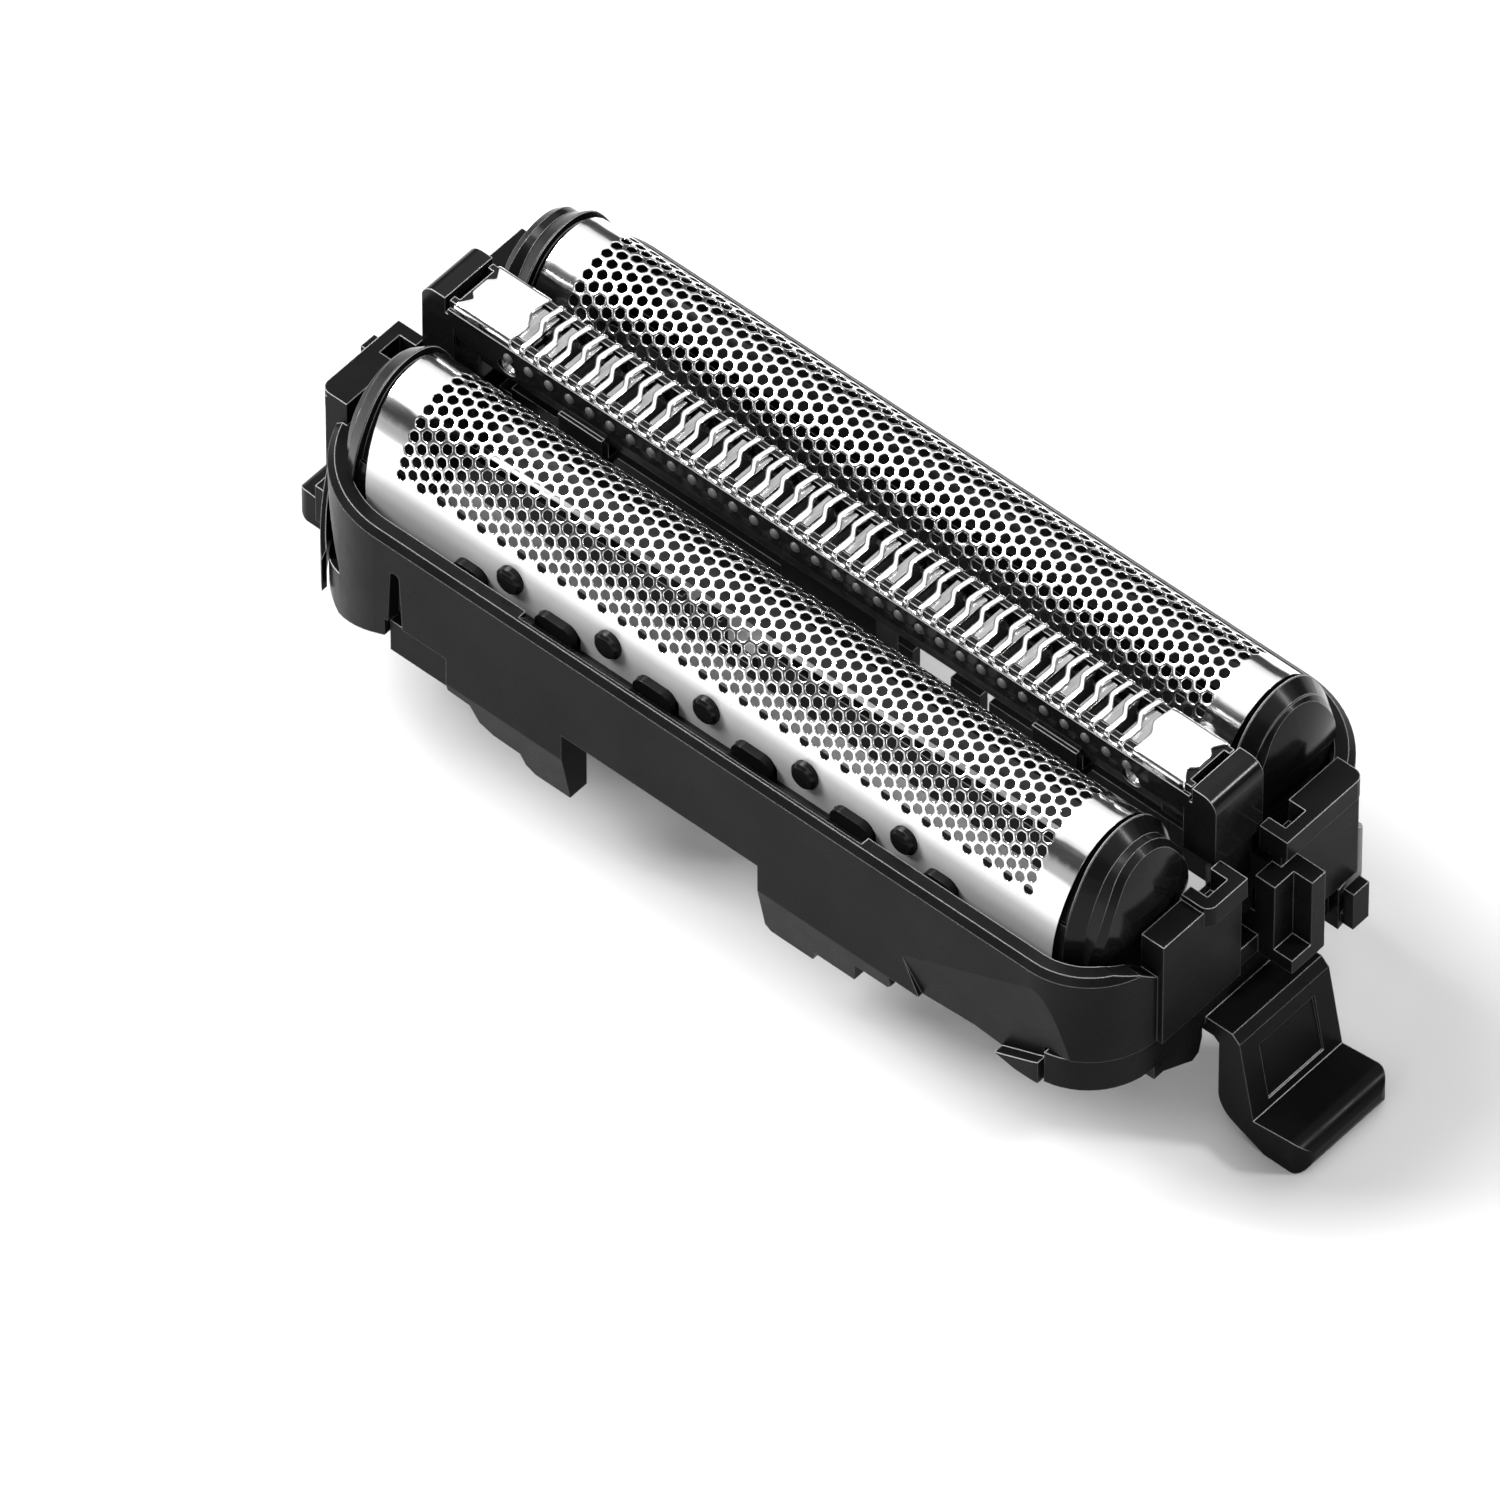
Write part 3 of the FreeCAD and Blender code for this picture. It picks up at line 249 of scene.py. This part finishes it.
# Mesh helpers
def link_mesh(name, mesh, *materials):
    """Puts a mesh into the scene as a new object."""
    for material in materials:
        mesh.materials.append(material)
    obj = bpy.data.objects.new(name, mesh)
    bpy.context.scene.collection.objects.link(obj)
    return obj


def make_object(name, verts, faces, material):
    """An object from points in millimetres."""
    mesh = bpy.data.meshes.new(name)
    mesh.from_pydata([[c * MM for c in v] for v in verts], [], faces)
    mesh.validate()
    return link_mesh(name, mesh, material)


def from_bmesh(name, bm, *materials):
    mesh = bpy.data.meshes.new(name)
    bm.to_mesh(mesh)
    bm.free()
    return link_mesh(name, mesh, *materials)


def face_outwards(obj):
    bm = bmesh.new()
    bm.from_mesh(obj.data)
    bmesh.ops.recalc_face_normals(bm, faces=bm.faces)
    bm.to_mesh(obj.data)
    bm.free()


def apply_modifiers(obj):
    bpy.context.view_layer.update()
    depsgraph = bpy.context.evaluated_depsgraph_get()
    mesh = bpy.data.meshes.new_from_object(obj.evaluated_get(depsgraph))
    obj.modifiers.clear()
    old = obj.data
    obj.data = mesh
    mesh.name = obj.name
    bpy.data.meshes.remove(old)


def thicken(obj, thickness, inner_slot=0):
    """Gives a sheet its thickness, inwards; its inner side and rims take the inner slot,
    which on the foils is a darkened steel that paints shade.
    """
    skin = obj.modifiers.new("skin", "SOLIDIFY")
    skin.thickness = thickness * MM
    skin.offset = -1
    skin.material_offset = inner_slot
    skin.material_offset_rim = inner_slot
    apply_modifiers(obj)


def shade(obj, angle):
    """Smooth shading, but for edges sharper than an angle in degrees."""
    obj.data.shade_smooth()
    obj.data.set_sharp_from_angle(angle=math.radians(angle))


def turned(obj, name):
    """A copy of the piece after half a turn about Z."""
    other = link_mesh(name, obj.data.copy())
    for v in other.data.vertices:
        v.co = (-v.co.x, -v.co.y, v.co.z)
    other.data.update()
    return other


# Materials
def fill_ramp(node, stops):
    """Sets a colour ramp's stops, each a position and a colour."""
    elements = node.color_ramp.elements
    while len(elements) < len(stops):
        elements.new(0.5)
    for element, (position, colour) in zip(elements, stops):
        element.position = position
        element.color = (*colour, 1)


class Nodes:
    """Short way to wire a material's nodes."""

    def __init__(self, name):
        self.material = bpy.data.materials.new(name)
        self.material.use_nodes = True
        self.tree = self.material.node_tree
        self.shader = self.tree.nodes["Principled BSDF"]
        self.place = self.add("ShaderNodeTexCoord").outputs["Object"]

    def add(self, kind, **values):
        """A node with its properties and inputs set by name."""
        node = self.tree.nodes.new(kind)
        for key, value in values.items():
            if hasattr(node, key):
                setattr(node, key, value)
            else:
                node.inputs[key.replace("_", " ")].default_value = value
        return node

    def link(self, source, target):
        self.tree.links.new(source, target)

    def feed(self, source, name):
        """Links a value to an input of the shader."""
        self.link(source, self.shader.inputs[name])

    def set(self, **values):
        """Sets inputs of the shader that are the same all over."""
        for key, value in values.items():
            self.shader.inputs[key.replace("_", " ")].default_value = value

    def noise(self, scale, detail, stretch=(1, 1, 1)):
        mapping = self.add("ShaderNodeMapping", Scale=stretch)
        self.link(self.place, mapping.inputs["Vector"])
        node = self.add("ShaderNodeTexNoise", Scale=scale, Detail=detail)
        self.link(mapping.outputs["Vector"], node.inputs["Vector"])
        return node.outputs["Fac"]

    def spread(self, source, low, high, to_low, to_high):
        """Maps a value from one range to another, held at its ends."""
        node = self.add(
            "ShaderNodeMapRange", From_Min=low, From_Max=high, To_Min=to_low, To_Max=to_high
        )
        self.link(source, node.inputs["Value"])
        return node.outputs["Result"]

    def ramp(self, source, stops):
        node = self.add("ShaderNodeValToRGB")
        fill_ramp(node, stops)
        self.link(source, node.inputs["Fac"])
        return node.outputs["Color"]

    def blend(self, share, first, second):
        """From a linked colour to a plain one, by share."""
        node = self.add("ShaderNodeMix", data_type="RGBA")
        self.link(share, node.inputs[0])
        self.link(first, node.inputs[6])
        node.inputs[7].default_value = (*second, 1)
        return node.outputs[2]

    def maths(self, operation, first, second):
        node = self.add("ShaderNodeMath", operation=operation)
        self.link(first, node.inputs[0])
        self.link(second, node.inputs[1])
        return node.outputs["Value"]

    def relief(self, source, strength, depth, under):
        """Bumps of a depth in millimetres, on top of another normal."""
        node = self.add("ShaderNodeBump", Strength=strength, Distance=depth * MM)
        self.link(source, node.inputs["Height"])
        self.link(under, node.inputs["Normal"])
        return node.outputs["Normal"]

    def rounded(self, radius):
        """The surface's normal with edges rounded by a radius in millimetres."""
        node = self.add("ShaderNodeBevel", samples=6, Radius=radius * MM)
        return node.outputs["Normal"]

    def height(self, low, high, to_low, to_high):
        """A value that changes between two heights in millimetres."""
        place = self.add("ShaderNodeSeparateXYZ")
        self.link(self.place, place.inputs[0])
        return self.spread(place.outputs["Z"], low * MM, high * MM, to_low, to_high)

    def edges(self, rounded, fade):
        """Share of edge at a point, from how far rounding turns the normal.

        The share sets a painted highlight: it is weak on edges that don't look up,
        and below the fade heights it dies away.
        """
        surface = self.add("ShaderNodeNewGeometry").outputs["Normal"]
        dot = self.add("ShaderNodeVectorMath", operation="DOT_PRODUCT")
        self.link(rounded, dot.inputs[0])
        self.link(surface, dot.inputs[1])
        turn = self.spread(dot.outputs["Value"], 1 - EDGE_FROM, 1 - EDGE_TO, 0, 1)
        parts = self.add("ShaderNodeSeparateXYZ")
        self.link(rounded, parts.inputs[0])
        upward = self.spread(parts.outputs["Z"], UPWARD_FROM, UPWARD_TO, SIDEWAYS_SHARE, 1)
        edge = self.maths("MULTIPLY", turn, upward)
        if fade is not None:
            edge = self.maths("MULTIPLY", edge, self.height(*fade, 0, 1))
        return edge


def plastic(name, dark, light, rough, gloss, edge_highlight_tone, fade=None):
    """Moulded plastic: fine grain, glossier edges, and a painted highlight that lightens
    edges looking up.
    """
    n = Nodes(name)
    normal = n.rounded(EDGE_RADIUS)
    edge = n.edges(normal, fade)
    tone = n.ramp(n.noise(MOTTLE_SCALE, 4), [(0.3, grey(dark)), (0.75, grey(light))])
    # Painted highlight: the base colour lightens towards the edge highlight tone on edges
    # that look up.
    n.feed(n.blend(edge, tone, grey(edge_highlight_tone)), "Base Color")
    sheen = n.noise(SHEEN_SCALE, 3)
    matt = n.spread(sheen, 0.3, 0.7, rough - ROUGH_BELOW, rough + ROUGH_ABOVE)
    n.feed(n.maths("MULTIPLY", matt, n.spread(edge, 0, 1, 1, EDGE_POLISH)), "Roughness")
    n.feed(n.relief(n.noise(GRAIN_SCALE, 2), 0.3, GRAIN_DEPTH, normal), "Normal")
    n.set(IOR=1.5, Specular_IOR_Level=gloss)
    return n.material


def steel(name, low, high, rough, stretch, satin=None):
    """Bright metal with fine streaks; below the satin heights it is etched matt."""
    n = Nodes(name)
    streaks = n.noise(STREAK_SCALE, 5, stretch)
    tone = n.ramp(streaks, [(0.25, grey(low)), (0.8, grey(high))])
    matt = n.spread(streaks, 0.25, 0.75, rough - ROUGH_BELOW, rough + ROUGH_ABOVE)
    if satin is None:
        n.set(Metallic=1.0)
    else:
        etched = n.height(*satin, 1, 0)
        tone = n.blend(etched, tone, grey(SATIN_TONE))
        matt = n.maths("ADD", matt, n.spread(etched, 0, 1, 0, SATIN_ROUGH))
        n.feed(n.spread(etched, 0, 1, 1, SATIN_METAL), "Metallic")
    n.feed(tone, "Base Color")
    n.feed(matt, "Roughness")
    n.feed(n.relief(streaks, 0.25, STREAK_DEPTH, n.rounded(STEEL_EDGE)), "Normal")
    return n.material


# The last plastic value is the pale tone of the painted edge highlight; on the holders it
# fades out below the given heights.
MAT_FRAME = plastic("frame_black", 0.004, 0.008, 0.3, 0.045, 0.55)
MAT_HOLDER = plastic("holder_black", 0.004, 0.008, 0.17, 0.12, 0.55, EDGE_HIGHLIGHT_HEIGHTS)
MAT_CARRIER = plastic("carrier_dark", 0.006, 0.01, 0.4, 0.1, 0.04)
# Pips: the black plastic lightened in colour, a painted highlight so they show as soft
# bright dots.
MAT_PIP_HIGHLIGHT = plastic("pip_painted_highlight", 0.05, 0.08, 0.35, 0.4, 0.08)
MAT_FOIL = steel("foil_bright", 0.88, 0.96, 0.13, (0.3, 3, 3), SATIN)
# A darkened copy of the foil steel: painted shade for the foils' inner side and hole walls.
MAT_FOIL_INSIDE_SHADE = steel("foil_inside_painted_shade", 0.04, 0.1, 0.4, (0.3, 3, 3))
MAT_SLIT = steel("slit_bright", 0.88, 0.96, 0.12, (3, 0.4, 3))
# The blade: ground steel, its colour darkened as painted shade for the gaps between the slit
# bars.
MAT_BLADE_SHADE = steel("blade_ground_painted_shade", 0.3, 0.5, 0.25, (3, 0.4, 3))
MAT_PIN = steel("pin_ground", 0.6, 0.8, 0.2, (1, 1, 1))
MAT_SPRING = steel("spring_wire", 0.55, 0.75, 0.22, (1, 1, 4))

for node_name, node_material in {
    "outer_frame": MAT_FRAME,
    "base_frame": MAT_FRAME,
    "front_foil_holder": MAT_HOLDER,
    "rear_foil_holder": MAT_HOLDER,
    "slit_foil_holder": MAT_HOLDER,
    "slit_blade_carrier": MAT_CARRIER,
    "slit_blade": MAT_BLADE_SHADE,
    "slit_pin_left": MAT_PIN,
    "slit_pin_right": MAT_PIN,
    "front_foil": MAT_FOIL,
    "rear_foil": MAT_FOIL,
    "slit_foil": MAT_SLIT,
    "slit_spring_left": MAT_SPRING,
    "slit_spring_right": MAT_SPRING,
}.items():
    slots = NODES[node_name].data.materials
    if not slots:
        slots.append(node_material)
    for slot in range(len(slots)):
        slots[slot] = node_material


# Main foils: a perforated sheet, made in the flat and laid over its oval arch
def oval(s, height):
    """Place at s millimetres of arc from the crest, height off the outer face."""
    side = 1 if s >= 0 else -1
    run = abs(s)
    if run <= CROWN_ARC:
        turn = run / CROWN_RADIUS
        y = (CROWN_RADIUS + height) * math.sin(turn)
        z = FOIL_AXIS + CROWN_DROP + (CROWN_RADIUS + height) * math.cos(turn)
    elif run <= CROWN_ARC + SIDE_ARC:
        turn = LEAN - (run - CROWN_ARC) / SIDE_RADIUS
        y = FOIL_HALF_WIDTH - SIDE_RADIUS + (SIDE_RADIUS + height) * math.cos(turn)
        z = FOIL_AXIS + (SIDE_RADIUS + height) * math.sin(turn)
    else:
        y = FOIL_HALF_WIDTH + height
        z = FOIL_AXIS - (run - CROWN_ARC - SIDE_ARC)
    return side * y, z


def ring(bm, x, s, corner, flat, height):
    """Points round a cell, in turn at one of its corners and halfway along a side."""
    verts = []
    for k in range(CELL_POINTS):
        a = k * 2 * math.pi / CELL_POINTS
        r = corner if k % 2 == 0 else flat
        verts.append(bm.verts.new((x + r * math.cos(a), s + r * math.sin(a), height)))
    return verts


def foil_cell(bm, x, s, hole):
    """One cell of the sheet in the flat; a hole's edge rolls inwards."""
    rim = ring(bm, x, s, CELL_CORNER, PITCH / 2, 0)
    if not hole:
        bm.faces.new(rim)
        return
    brow = ring(bm, x, s, HOLE_CORNER + LIP_WIDTH, HOLE_FLAT + LIP_WIDTH, 0)
    lip = ring(bm, x, s, HOLE_CORNER, HOLE_FLAT, -LIP_DROP)
    for outer, inner in ((rim, brow), (brow, lip)):
        for k in range(CELL_POINTS):
            m = (k + 1) % CELL_POINTS
            bm.faces.new((outer[k], outer[m], inner[m], inner[k]))


def split(bm, faces, spot, way, clear=False):
    """Cuts faces along a plane; clear also takes away what lies beyond it."""
    parts = dict.fromkeys(part for f in faces for part in (f, *f.edges, *f.verts))
    bmesh.ops.bisect_plane(
        bm, geom=list(parts), dist=ON_PLANE, plane_co=spot, plane_no=way, clear_outer=clear
    )


def cut_notch(bm, x, low):
    """Takes a round-cornered notch out of the flat sheet's front hem."""
    top = low + NOTCH_DEPTH
    planes = [(Vector((x, top, 0)), Vector((0, 1, 0)))]
    for side in (-1, 1):
        edge = Vector((x + side * NOTCH_HALF_WIDTH, low, 0))
        planes.append((edge, Vector((side, 0, 0))))
        centre = Vector((edge.x - side * NOTCH_CORNER, top - NOTCH_CORNER, 0))
        for k in range(1, NOTCH_CUTS + 1):
            a = k * math.pi / 2 / (NOTCH_CUTS + 1)
            way = Vector((side * math.cos(a), math.sin(a), 0))
            planes.append((centre + way * NOTCH_CORNER, way))

    def near():
        return [
            f for f in bm.faces
            if abs(f.calc_center_median().x - x) < NOTCH_HALF_WIDTH + NOTCH_REACH
            and f.calc_center_median().y < top + NOTCH_REACH
        ]

    for spot, way in planes:
        split(bm, near(), spot, way)
    gone = [
        f for f in near()
        if all((f.calc_center_median() - spot).dot(way) < 0 for spot, way in planes)
    ]
    bmesh.ops.delete(bm, geom=gone, context="FACES")


def flat_foil(front, rear):
    """The whole sheet in the flat: x along the foil, y across it as arc."""
    bm = bmesh.new()
    half = COLUMNS // 2
    reach = int(FOIL_HALF_LENGTH / COLUMN_STEP) + 2
    for i in range(-reach, reach + 1):
        odd = i % 2
        shift = 0.0 if odd else PITCH / 2
        limit = (ROWS if odd else ROWS - 1) / 2 * PITCH + ON_LIMIT
        first = int((front - shift) / PITCH) - 2
        last = int((rear - shift) / PITCH) + 2
        for j in range(first, last + 1):
            s = j * PITCH + shift
            foil_cell(bm, i * COLUMN_STEP, s, abs(i) <= half and abs(s) <= limit)
    bmesh.ops.remove_doubles(bm, verts=bm.verts, dist=MERGE)
    for side in (1, -1):
        split(bm, bm.faces, (side * FOIL_HALF_LENGTH, 0, 0), (side, 0, 0), True)
    split(bm, bm.faces, (0, rear, 0), (0, 1, 0), True)
    split(bm, bm.faces, (0, front, 0), (0, -1, 0), True)
    for place in NOTCHES:
        cut_notch(bm, place * STUD_PITCH, front)
    return bm


def foil_sheet(name):
    front = -(CROWN_ARC + SIDE_ARC + FOIL_AXIS - OUTER_HEM)
    rear = CROWN_ARC + SIDE_ARC - SIDE_RADIUS * math.asin(INNER_HEM_RISE / SIDE_RADIUS)
    bm = flat_foil(front, rear)
    for v in bm.verts:
        x, s, height = v.co
        y, z = oval(s, height)
        if abs(x) > PLAIN_FROM:
            slant = FOIL_SLANT * (CREST - z) / (CREST - OUTER_HEM)
            share = (abs(x) - PLAIN_FROM) / (FOIL_HALF_LENGTH - PLAIN_FROM)
            x = math.copysign(abs(x) - slant * share, x)
        v.co = Vector((x, y - FOIL_Y, z)) * MM
    bmesh.ops.recalc_face_normals(bm, faces=bm.faces)
    if sum(f.normal.z for f in bm.faces) < 0:
        bmesh.ops.reverse_faces(bm, faces=bm.faces)
    # The second slot is the darkened steel, painted shade on the inside and the hole walls.
    obj = from_bmesh(name, bm, MAT_FOIL, MAT_FOIL_INSIDE_SHADE)
    thicken(obj, FOIL_SKIN, 1)
    shade(obj, FOIL_SHARP)
    return obj


front_sheet = foil_sheet("perforated_foil_front")
rear_sheet = turned(front_sheet, "perforated_foil_rear")
for piece, body, node in (
    (front_sheet, "front_cassette", "front_foil"),
    (rear_sheet, "rear_cassette", "rear_foil"),
):
    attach(piece, body)
    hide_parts(node)


# Slit foil: wavy bars across a folded strip
def strip_section():
    """(y, z) along the folded strip, from the front hem to the rear hem."""
    half = SLIT_HALF_WIDTH
    bend_z = SLIT_TOP - SLIT_BEND
    low = SLIT_TOP - SLIT_HEM
    hem = [low + (bend_z - low) * k / HEM_POINTS for k in range(HEM_POINTS + 1)]
    arc = [k * math.pi / 2 / BEND_POINTS for k in range(1, BEND_POINTS + 1)]
    front = [(-half, z) for z in hem]
    for a in arc:
        y = half - SLIT_BEND + SLIT_BEND * math.cos(a)
        front.append((-y, bend_z + SLIT_BEND * math.sin(a)))
    flat = half - SLIT_BEND
    top = [(-flat + 2 * flat * k / TOP_POINTS, SLIT_TOP) for k in range(1, TOP_POINTS)]
    return front + top + [(-y, z) for y, z in reversed(front)]


def pad_end(y):
    """How far the plain end is cut back by its two dents and its tongue."""
    a = abs(y)
    corner = SLIT_HALF_WIDTH - TIP_WIDTH
    if a >= DENT_Y:
        return DENT_DEPTH * (1 - min(1.0, (a - DENT_Y) / (corner - DENT_Y)))
    rise = smooth((a - TONGUE_HALF_WIDTH) / (DENT_Y - TONGUE_HALF_WIDTH))
    return TONGUE_SET + (DENT_DEPTH - TONGUE_SET) * rise


def strip_row(y, width):
    """Places along the strip at one point of its section: both sides of each bar."""
    wave = sum(reach * smooth((y - start) / run) for start, run, reach in SLIT_STEPS)
    sides = [-SLIT_HALF_LENGTH + pad_end(y)]
    for i in range(SLIT_COUNT):
        x = (i - (SLIT_COUNT - 1) / 2) * SLIT_PITCH + SLIT_SHIFT + wave
        sides += [x - width / 2, x + width / 2]
    sides.append(SLIT_HALF_LENGTH - pad_end(y))
    left = [sides[0] + (sides[1] - sides[0]) * p / PAD_PIECES for p in range(PAD_PIECES)]
    right = [sides[-1] + (sides[-2] - sides[-1]) * p / PAD_PIECES for p in range(PAD_PIECES)]
    return left + sides[1:-1] + right[::-1]


def slit_sheet():
    section = strip_section()
    open_from = WHOLE_IN_FRONT
    open_to = len(section) - 1 - WHOLE_BEHIND
    verts = []
    for index, (y, z) in enumerate(section):
        inside = open_from < index < open_to
        row = strip_row(y, SLIT_OPEN if inside else SLIT_OPEN * SLIT_END_SHARE)
        verts += [(x, y, z) for x in row]
    count = len(verts) // len(section)
    slits = range(PAD_PIECES, PAD_PIECES + 2 * SLIT_COUNT, 2)
    faces = []
    for index in range(len(section) - 1):
        for column in range(count - 1):
            if column in slits and open_from <= index < open_to:
                continue
            near = index * count + column
            far = near + count
            faces.append((near, near + 1, far + 1, far))
    obj = make_object("slit_foil_strip", verts, faces, MAT_SLIT)
    face_outwards(obj)
    if sum(p.normal.z for p in obj.data.polygons) < 0:
        obj.data.flip_normals()
    thicken(obj, SLIT_SKIN)
    edge = obj.modifiers.new("edge", "BEVEL")
    edge.width = BAR_ROUNDING * MM
    edge.segments = BAR_SEGMENTS
    edge.limit_method = "ANGLE"
    edge.angle_limit = math.radians(BAR_SHARP)
    edge.use_clamp_overlap = True
    apply_modifiers(obj)
    shade(obj, BAR_SHARP)
    return obj


strip = slit_sheet()
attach(strip, "slit_cassette")
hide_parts("slit_foil")


# Shallow round pips along the bars of the slit holder
def pip(bm, x, side):
    """One low dome, from a foot sunk into the bar to its top."""
    rows = []
    for k in range(PIP_RINGS + 1):
        a = k / PIP_RINGS * math.pi / 2
        reach = PIP_RADIUS * math.cos(a)
        y = SLIT_HALF_WIDTH - PIP_SUNK + (PIP_HEIGHT + PIP_SUNK) * math.sin(a)
        count = PIP_SIDES if k < PIP_RINGS else 1
        row = []
        for j in range(count):
            b = j * 2 * math.pi / count
            z = SLIT_TOP - PIP_DROP + reach * math.sin(b)
            row.append(bm.verts.new((x + reach * math.cos(b), side * y, z)))
        rows.append(row)
    bm.faces.new(rows[0])
    for low, high in zip(rows, rows[1:]):
        for j in range(PIP_SIDES):
            m = (j + 1) % PIP_SIDES
            if len(high) == 1:
                bm.faces.new((low[j], low[m], high[0]))
            else:
                bm.faces.new((low[j], low[m], high[m], high[j]))


def pip_rows():
    bm = bmesh.new()
    for side in (-1, 1):
        for k in range(PIP_COUNT):
            pip(bm, (k - (PIP_COUNT - 1) / 2) * PIP_PITCH, side)
    bmesh.ops.recalc_face_normals(bm, faces=bm.faces)
    bmesh.ops.scale(bm, vec=(MM, MM, MM), verts=bm.verts)
    obj = from_bmesh("bar_pips", bm, MAT_PIP_HIGHLIGHT)
    shade(obj, PIP_SHARP)
    return obj


pips = pip_rows()
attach(pips, "slit_cassette")


# Coil springs of round wire
def spring(name, node):
    low, high = box_mm(node)
    x = (low.x + high.x) / 2
    bottom = low.z + COIL_WIRE
    top = high.z - COIL_HEADROOM - COIL_WIRE
    verts = []
    for i in range(COIL_POINTS + 1):
        t = i / COIL_POINTS
        a = t * COIL_TURNS * 2 * math.pi
        lift = smooth(t * (1 - 2 * COIL_CLOSED) + COIL_CLOSED)
        out = Vector((math.cos(a), math.sin(a), 0))
        centre = Vector((x, 0, bottom + (top - bottom) * lift)) + out * COIL_RADIUS
        for k in range(COIL_SIDES):
            b = k * 2 * math.pi / COIL_SIDES
            way = out * math.cos(b) + Vector((0, 0, math.sin(b)))
            verts.append(centre + way * COIL_WIRE)
    faces = [tuple(range(COIL_SIDES))]
    for near in range(0, COIL_POINTS * COIL_SIDES, COIL_SIDES):
        far = near + COIL_SIDES
        for k in range(COIL_SIDES):
            m = (k + 1) % COIL_SIDES
            faces.append((near + k, near + m, far + m, far + k))
    faces.append(tuple(range(len(verts) - COIL_SIDES, len(verts)))[::-1])
    obj = make_object(name, verts, faces, MAT_SPRING)
    face_outwards(obj)
    shade(obj, COIL_SHARP)
    return obj


for side in ("left", "right"):
    coil = spring("coil_spring_" + side, "slit_spring_" + side)
    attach(coil, "slit_cassette")
    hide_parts("slit_spring_" + side)


# Camera
def photo_camera():
    right = Vector((math.cos(AZIMUTH), math.sin(AZIMUTH), 0))
    back = Vector((
        math.sin(AZIMUTH) * math.cos(ELEVATION),
        -math.cos(AZIMUTH) * math.cos(ELEVATION),
        math.sin(ELEVATION),
    ))
    up = back.cross(right)
    across = (AIM_U - IMAGE / 2) / SCALE
    down = (AIM_V - IMAGE / 2) / SCALE
    distance = FOCAL / SCALE
    place = Vector((0, 0, SLIT_TOP)) + back * distance - right * across + up * down
    data = bpy.data.cameras.new("photo_camera")
    data.sensor_width = SENSOR
    data.sensor_fit = "HORIZONTAL"
    data.lens = FOCAL / IMAGE * SENSOR
    data.clip_start = 0.05
    data.clip_end = 20
    camera = bpy.data.objects.new("photo_camera", data)
    bpy.context.scene.collection.objects.link(camera)
    camera.matrix_world = Matrix((right, up, back)).transposed().to_4x4()
    camera.location = place * MM
    bpy.context.scene.camera = camera


photo_camera()


# Floor, world and lights
def floor():
    n = Nodes("pale_floor")
    stops = [(0.3, grey(FLOOR_TONE)), (0.7, grey(FLOOR_TONE + FLOOR_STRAY))]
    n.feed(n.ramp(n.noise(FLOOR_SCALE, 2), stops), "Base Color")
    n.set(Roughness=0.9, Specular_IOR_Level=0.1)
    corners = ((-1, -1), (1, -1), (1, 1), (-1, 1))
    verts = [(x * FLOOR_HALF, y * FLOOR_HALF, 0) for x, y in corners]
    obj = make_object("floor", verts, [(0, 1, 2, 3)], n.material)


def world():
    """A wide bright ceiling, a dark band that dips to the back, and light low down."""
    studio = bpy.data.worlds.new("studio")
    bpy.context.scene.world = studio
    studio.use_nodes = True
    tree = studio.node_tree
    background = tree.nodes["Background"]
    coords = tree.nodes.new("ShaderNodeTexCoord")
    tilt = tree.nodes.new("ShaderNodeVectorMath")
    tilt.operation = "DOT_PRODUCT"
    tilt.inputs[1].default_value = SKY_TILT
    ramp = tree.nodes.new("ShaderNodeValToRGB")
    fill_ramp(ramp, [(position, grey(value)) for position, value in SKY_STOPS])
    tree.links.new(coords.outputs["Generated"], tilt.inputs[0])
    tree.links.new(tilt.outputs["Value"], ramp.inputs["Fac"])
    tree.links.new(ramp.outputs["Color"], background.inputs["Color"])
    background.inputs["Strength"].default_value = 1.0


def softbox(name, azimuth, elevation, side, power):
    """A square area light that looks at the part."""
    data = bpy.data.lights.new(name, "AREA")
    data.shape = "SQUARE"
    data.size = side
    data.energy = power
    obj = bpy.data.objects.new(name, data)
    a = math.radians(azimuth)
    e = math.radians(elevation)
    way = Vector((math.sin(a) * math.cos(e), -math.cos(a) * math.cos(e), math.sin(e)))
    obj.location = way * LIGHT_DISTANCE + Vector((0, 0, LIGHT_AIM_Z))
    obj.rotation_euler = way.to_track_quat("Z", "Y").to_euler()
    bpy.context.scene.collection.objects.link(obj)


floor()
world()
for light_name, light_values in LIGHTS.items():
    softbox(light_name, *light_values)

view = bpy.context.scene.view_settings
view.view_transform = "Standard"
view.look = "None"
view.exposure = 0.0
view.gamma = 1.0
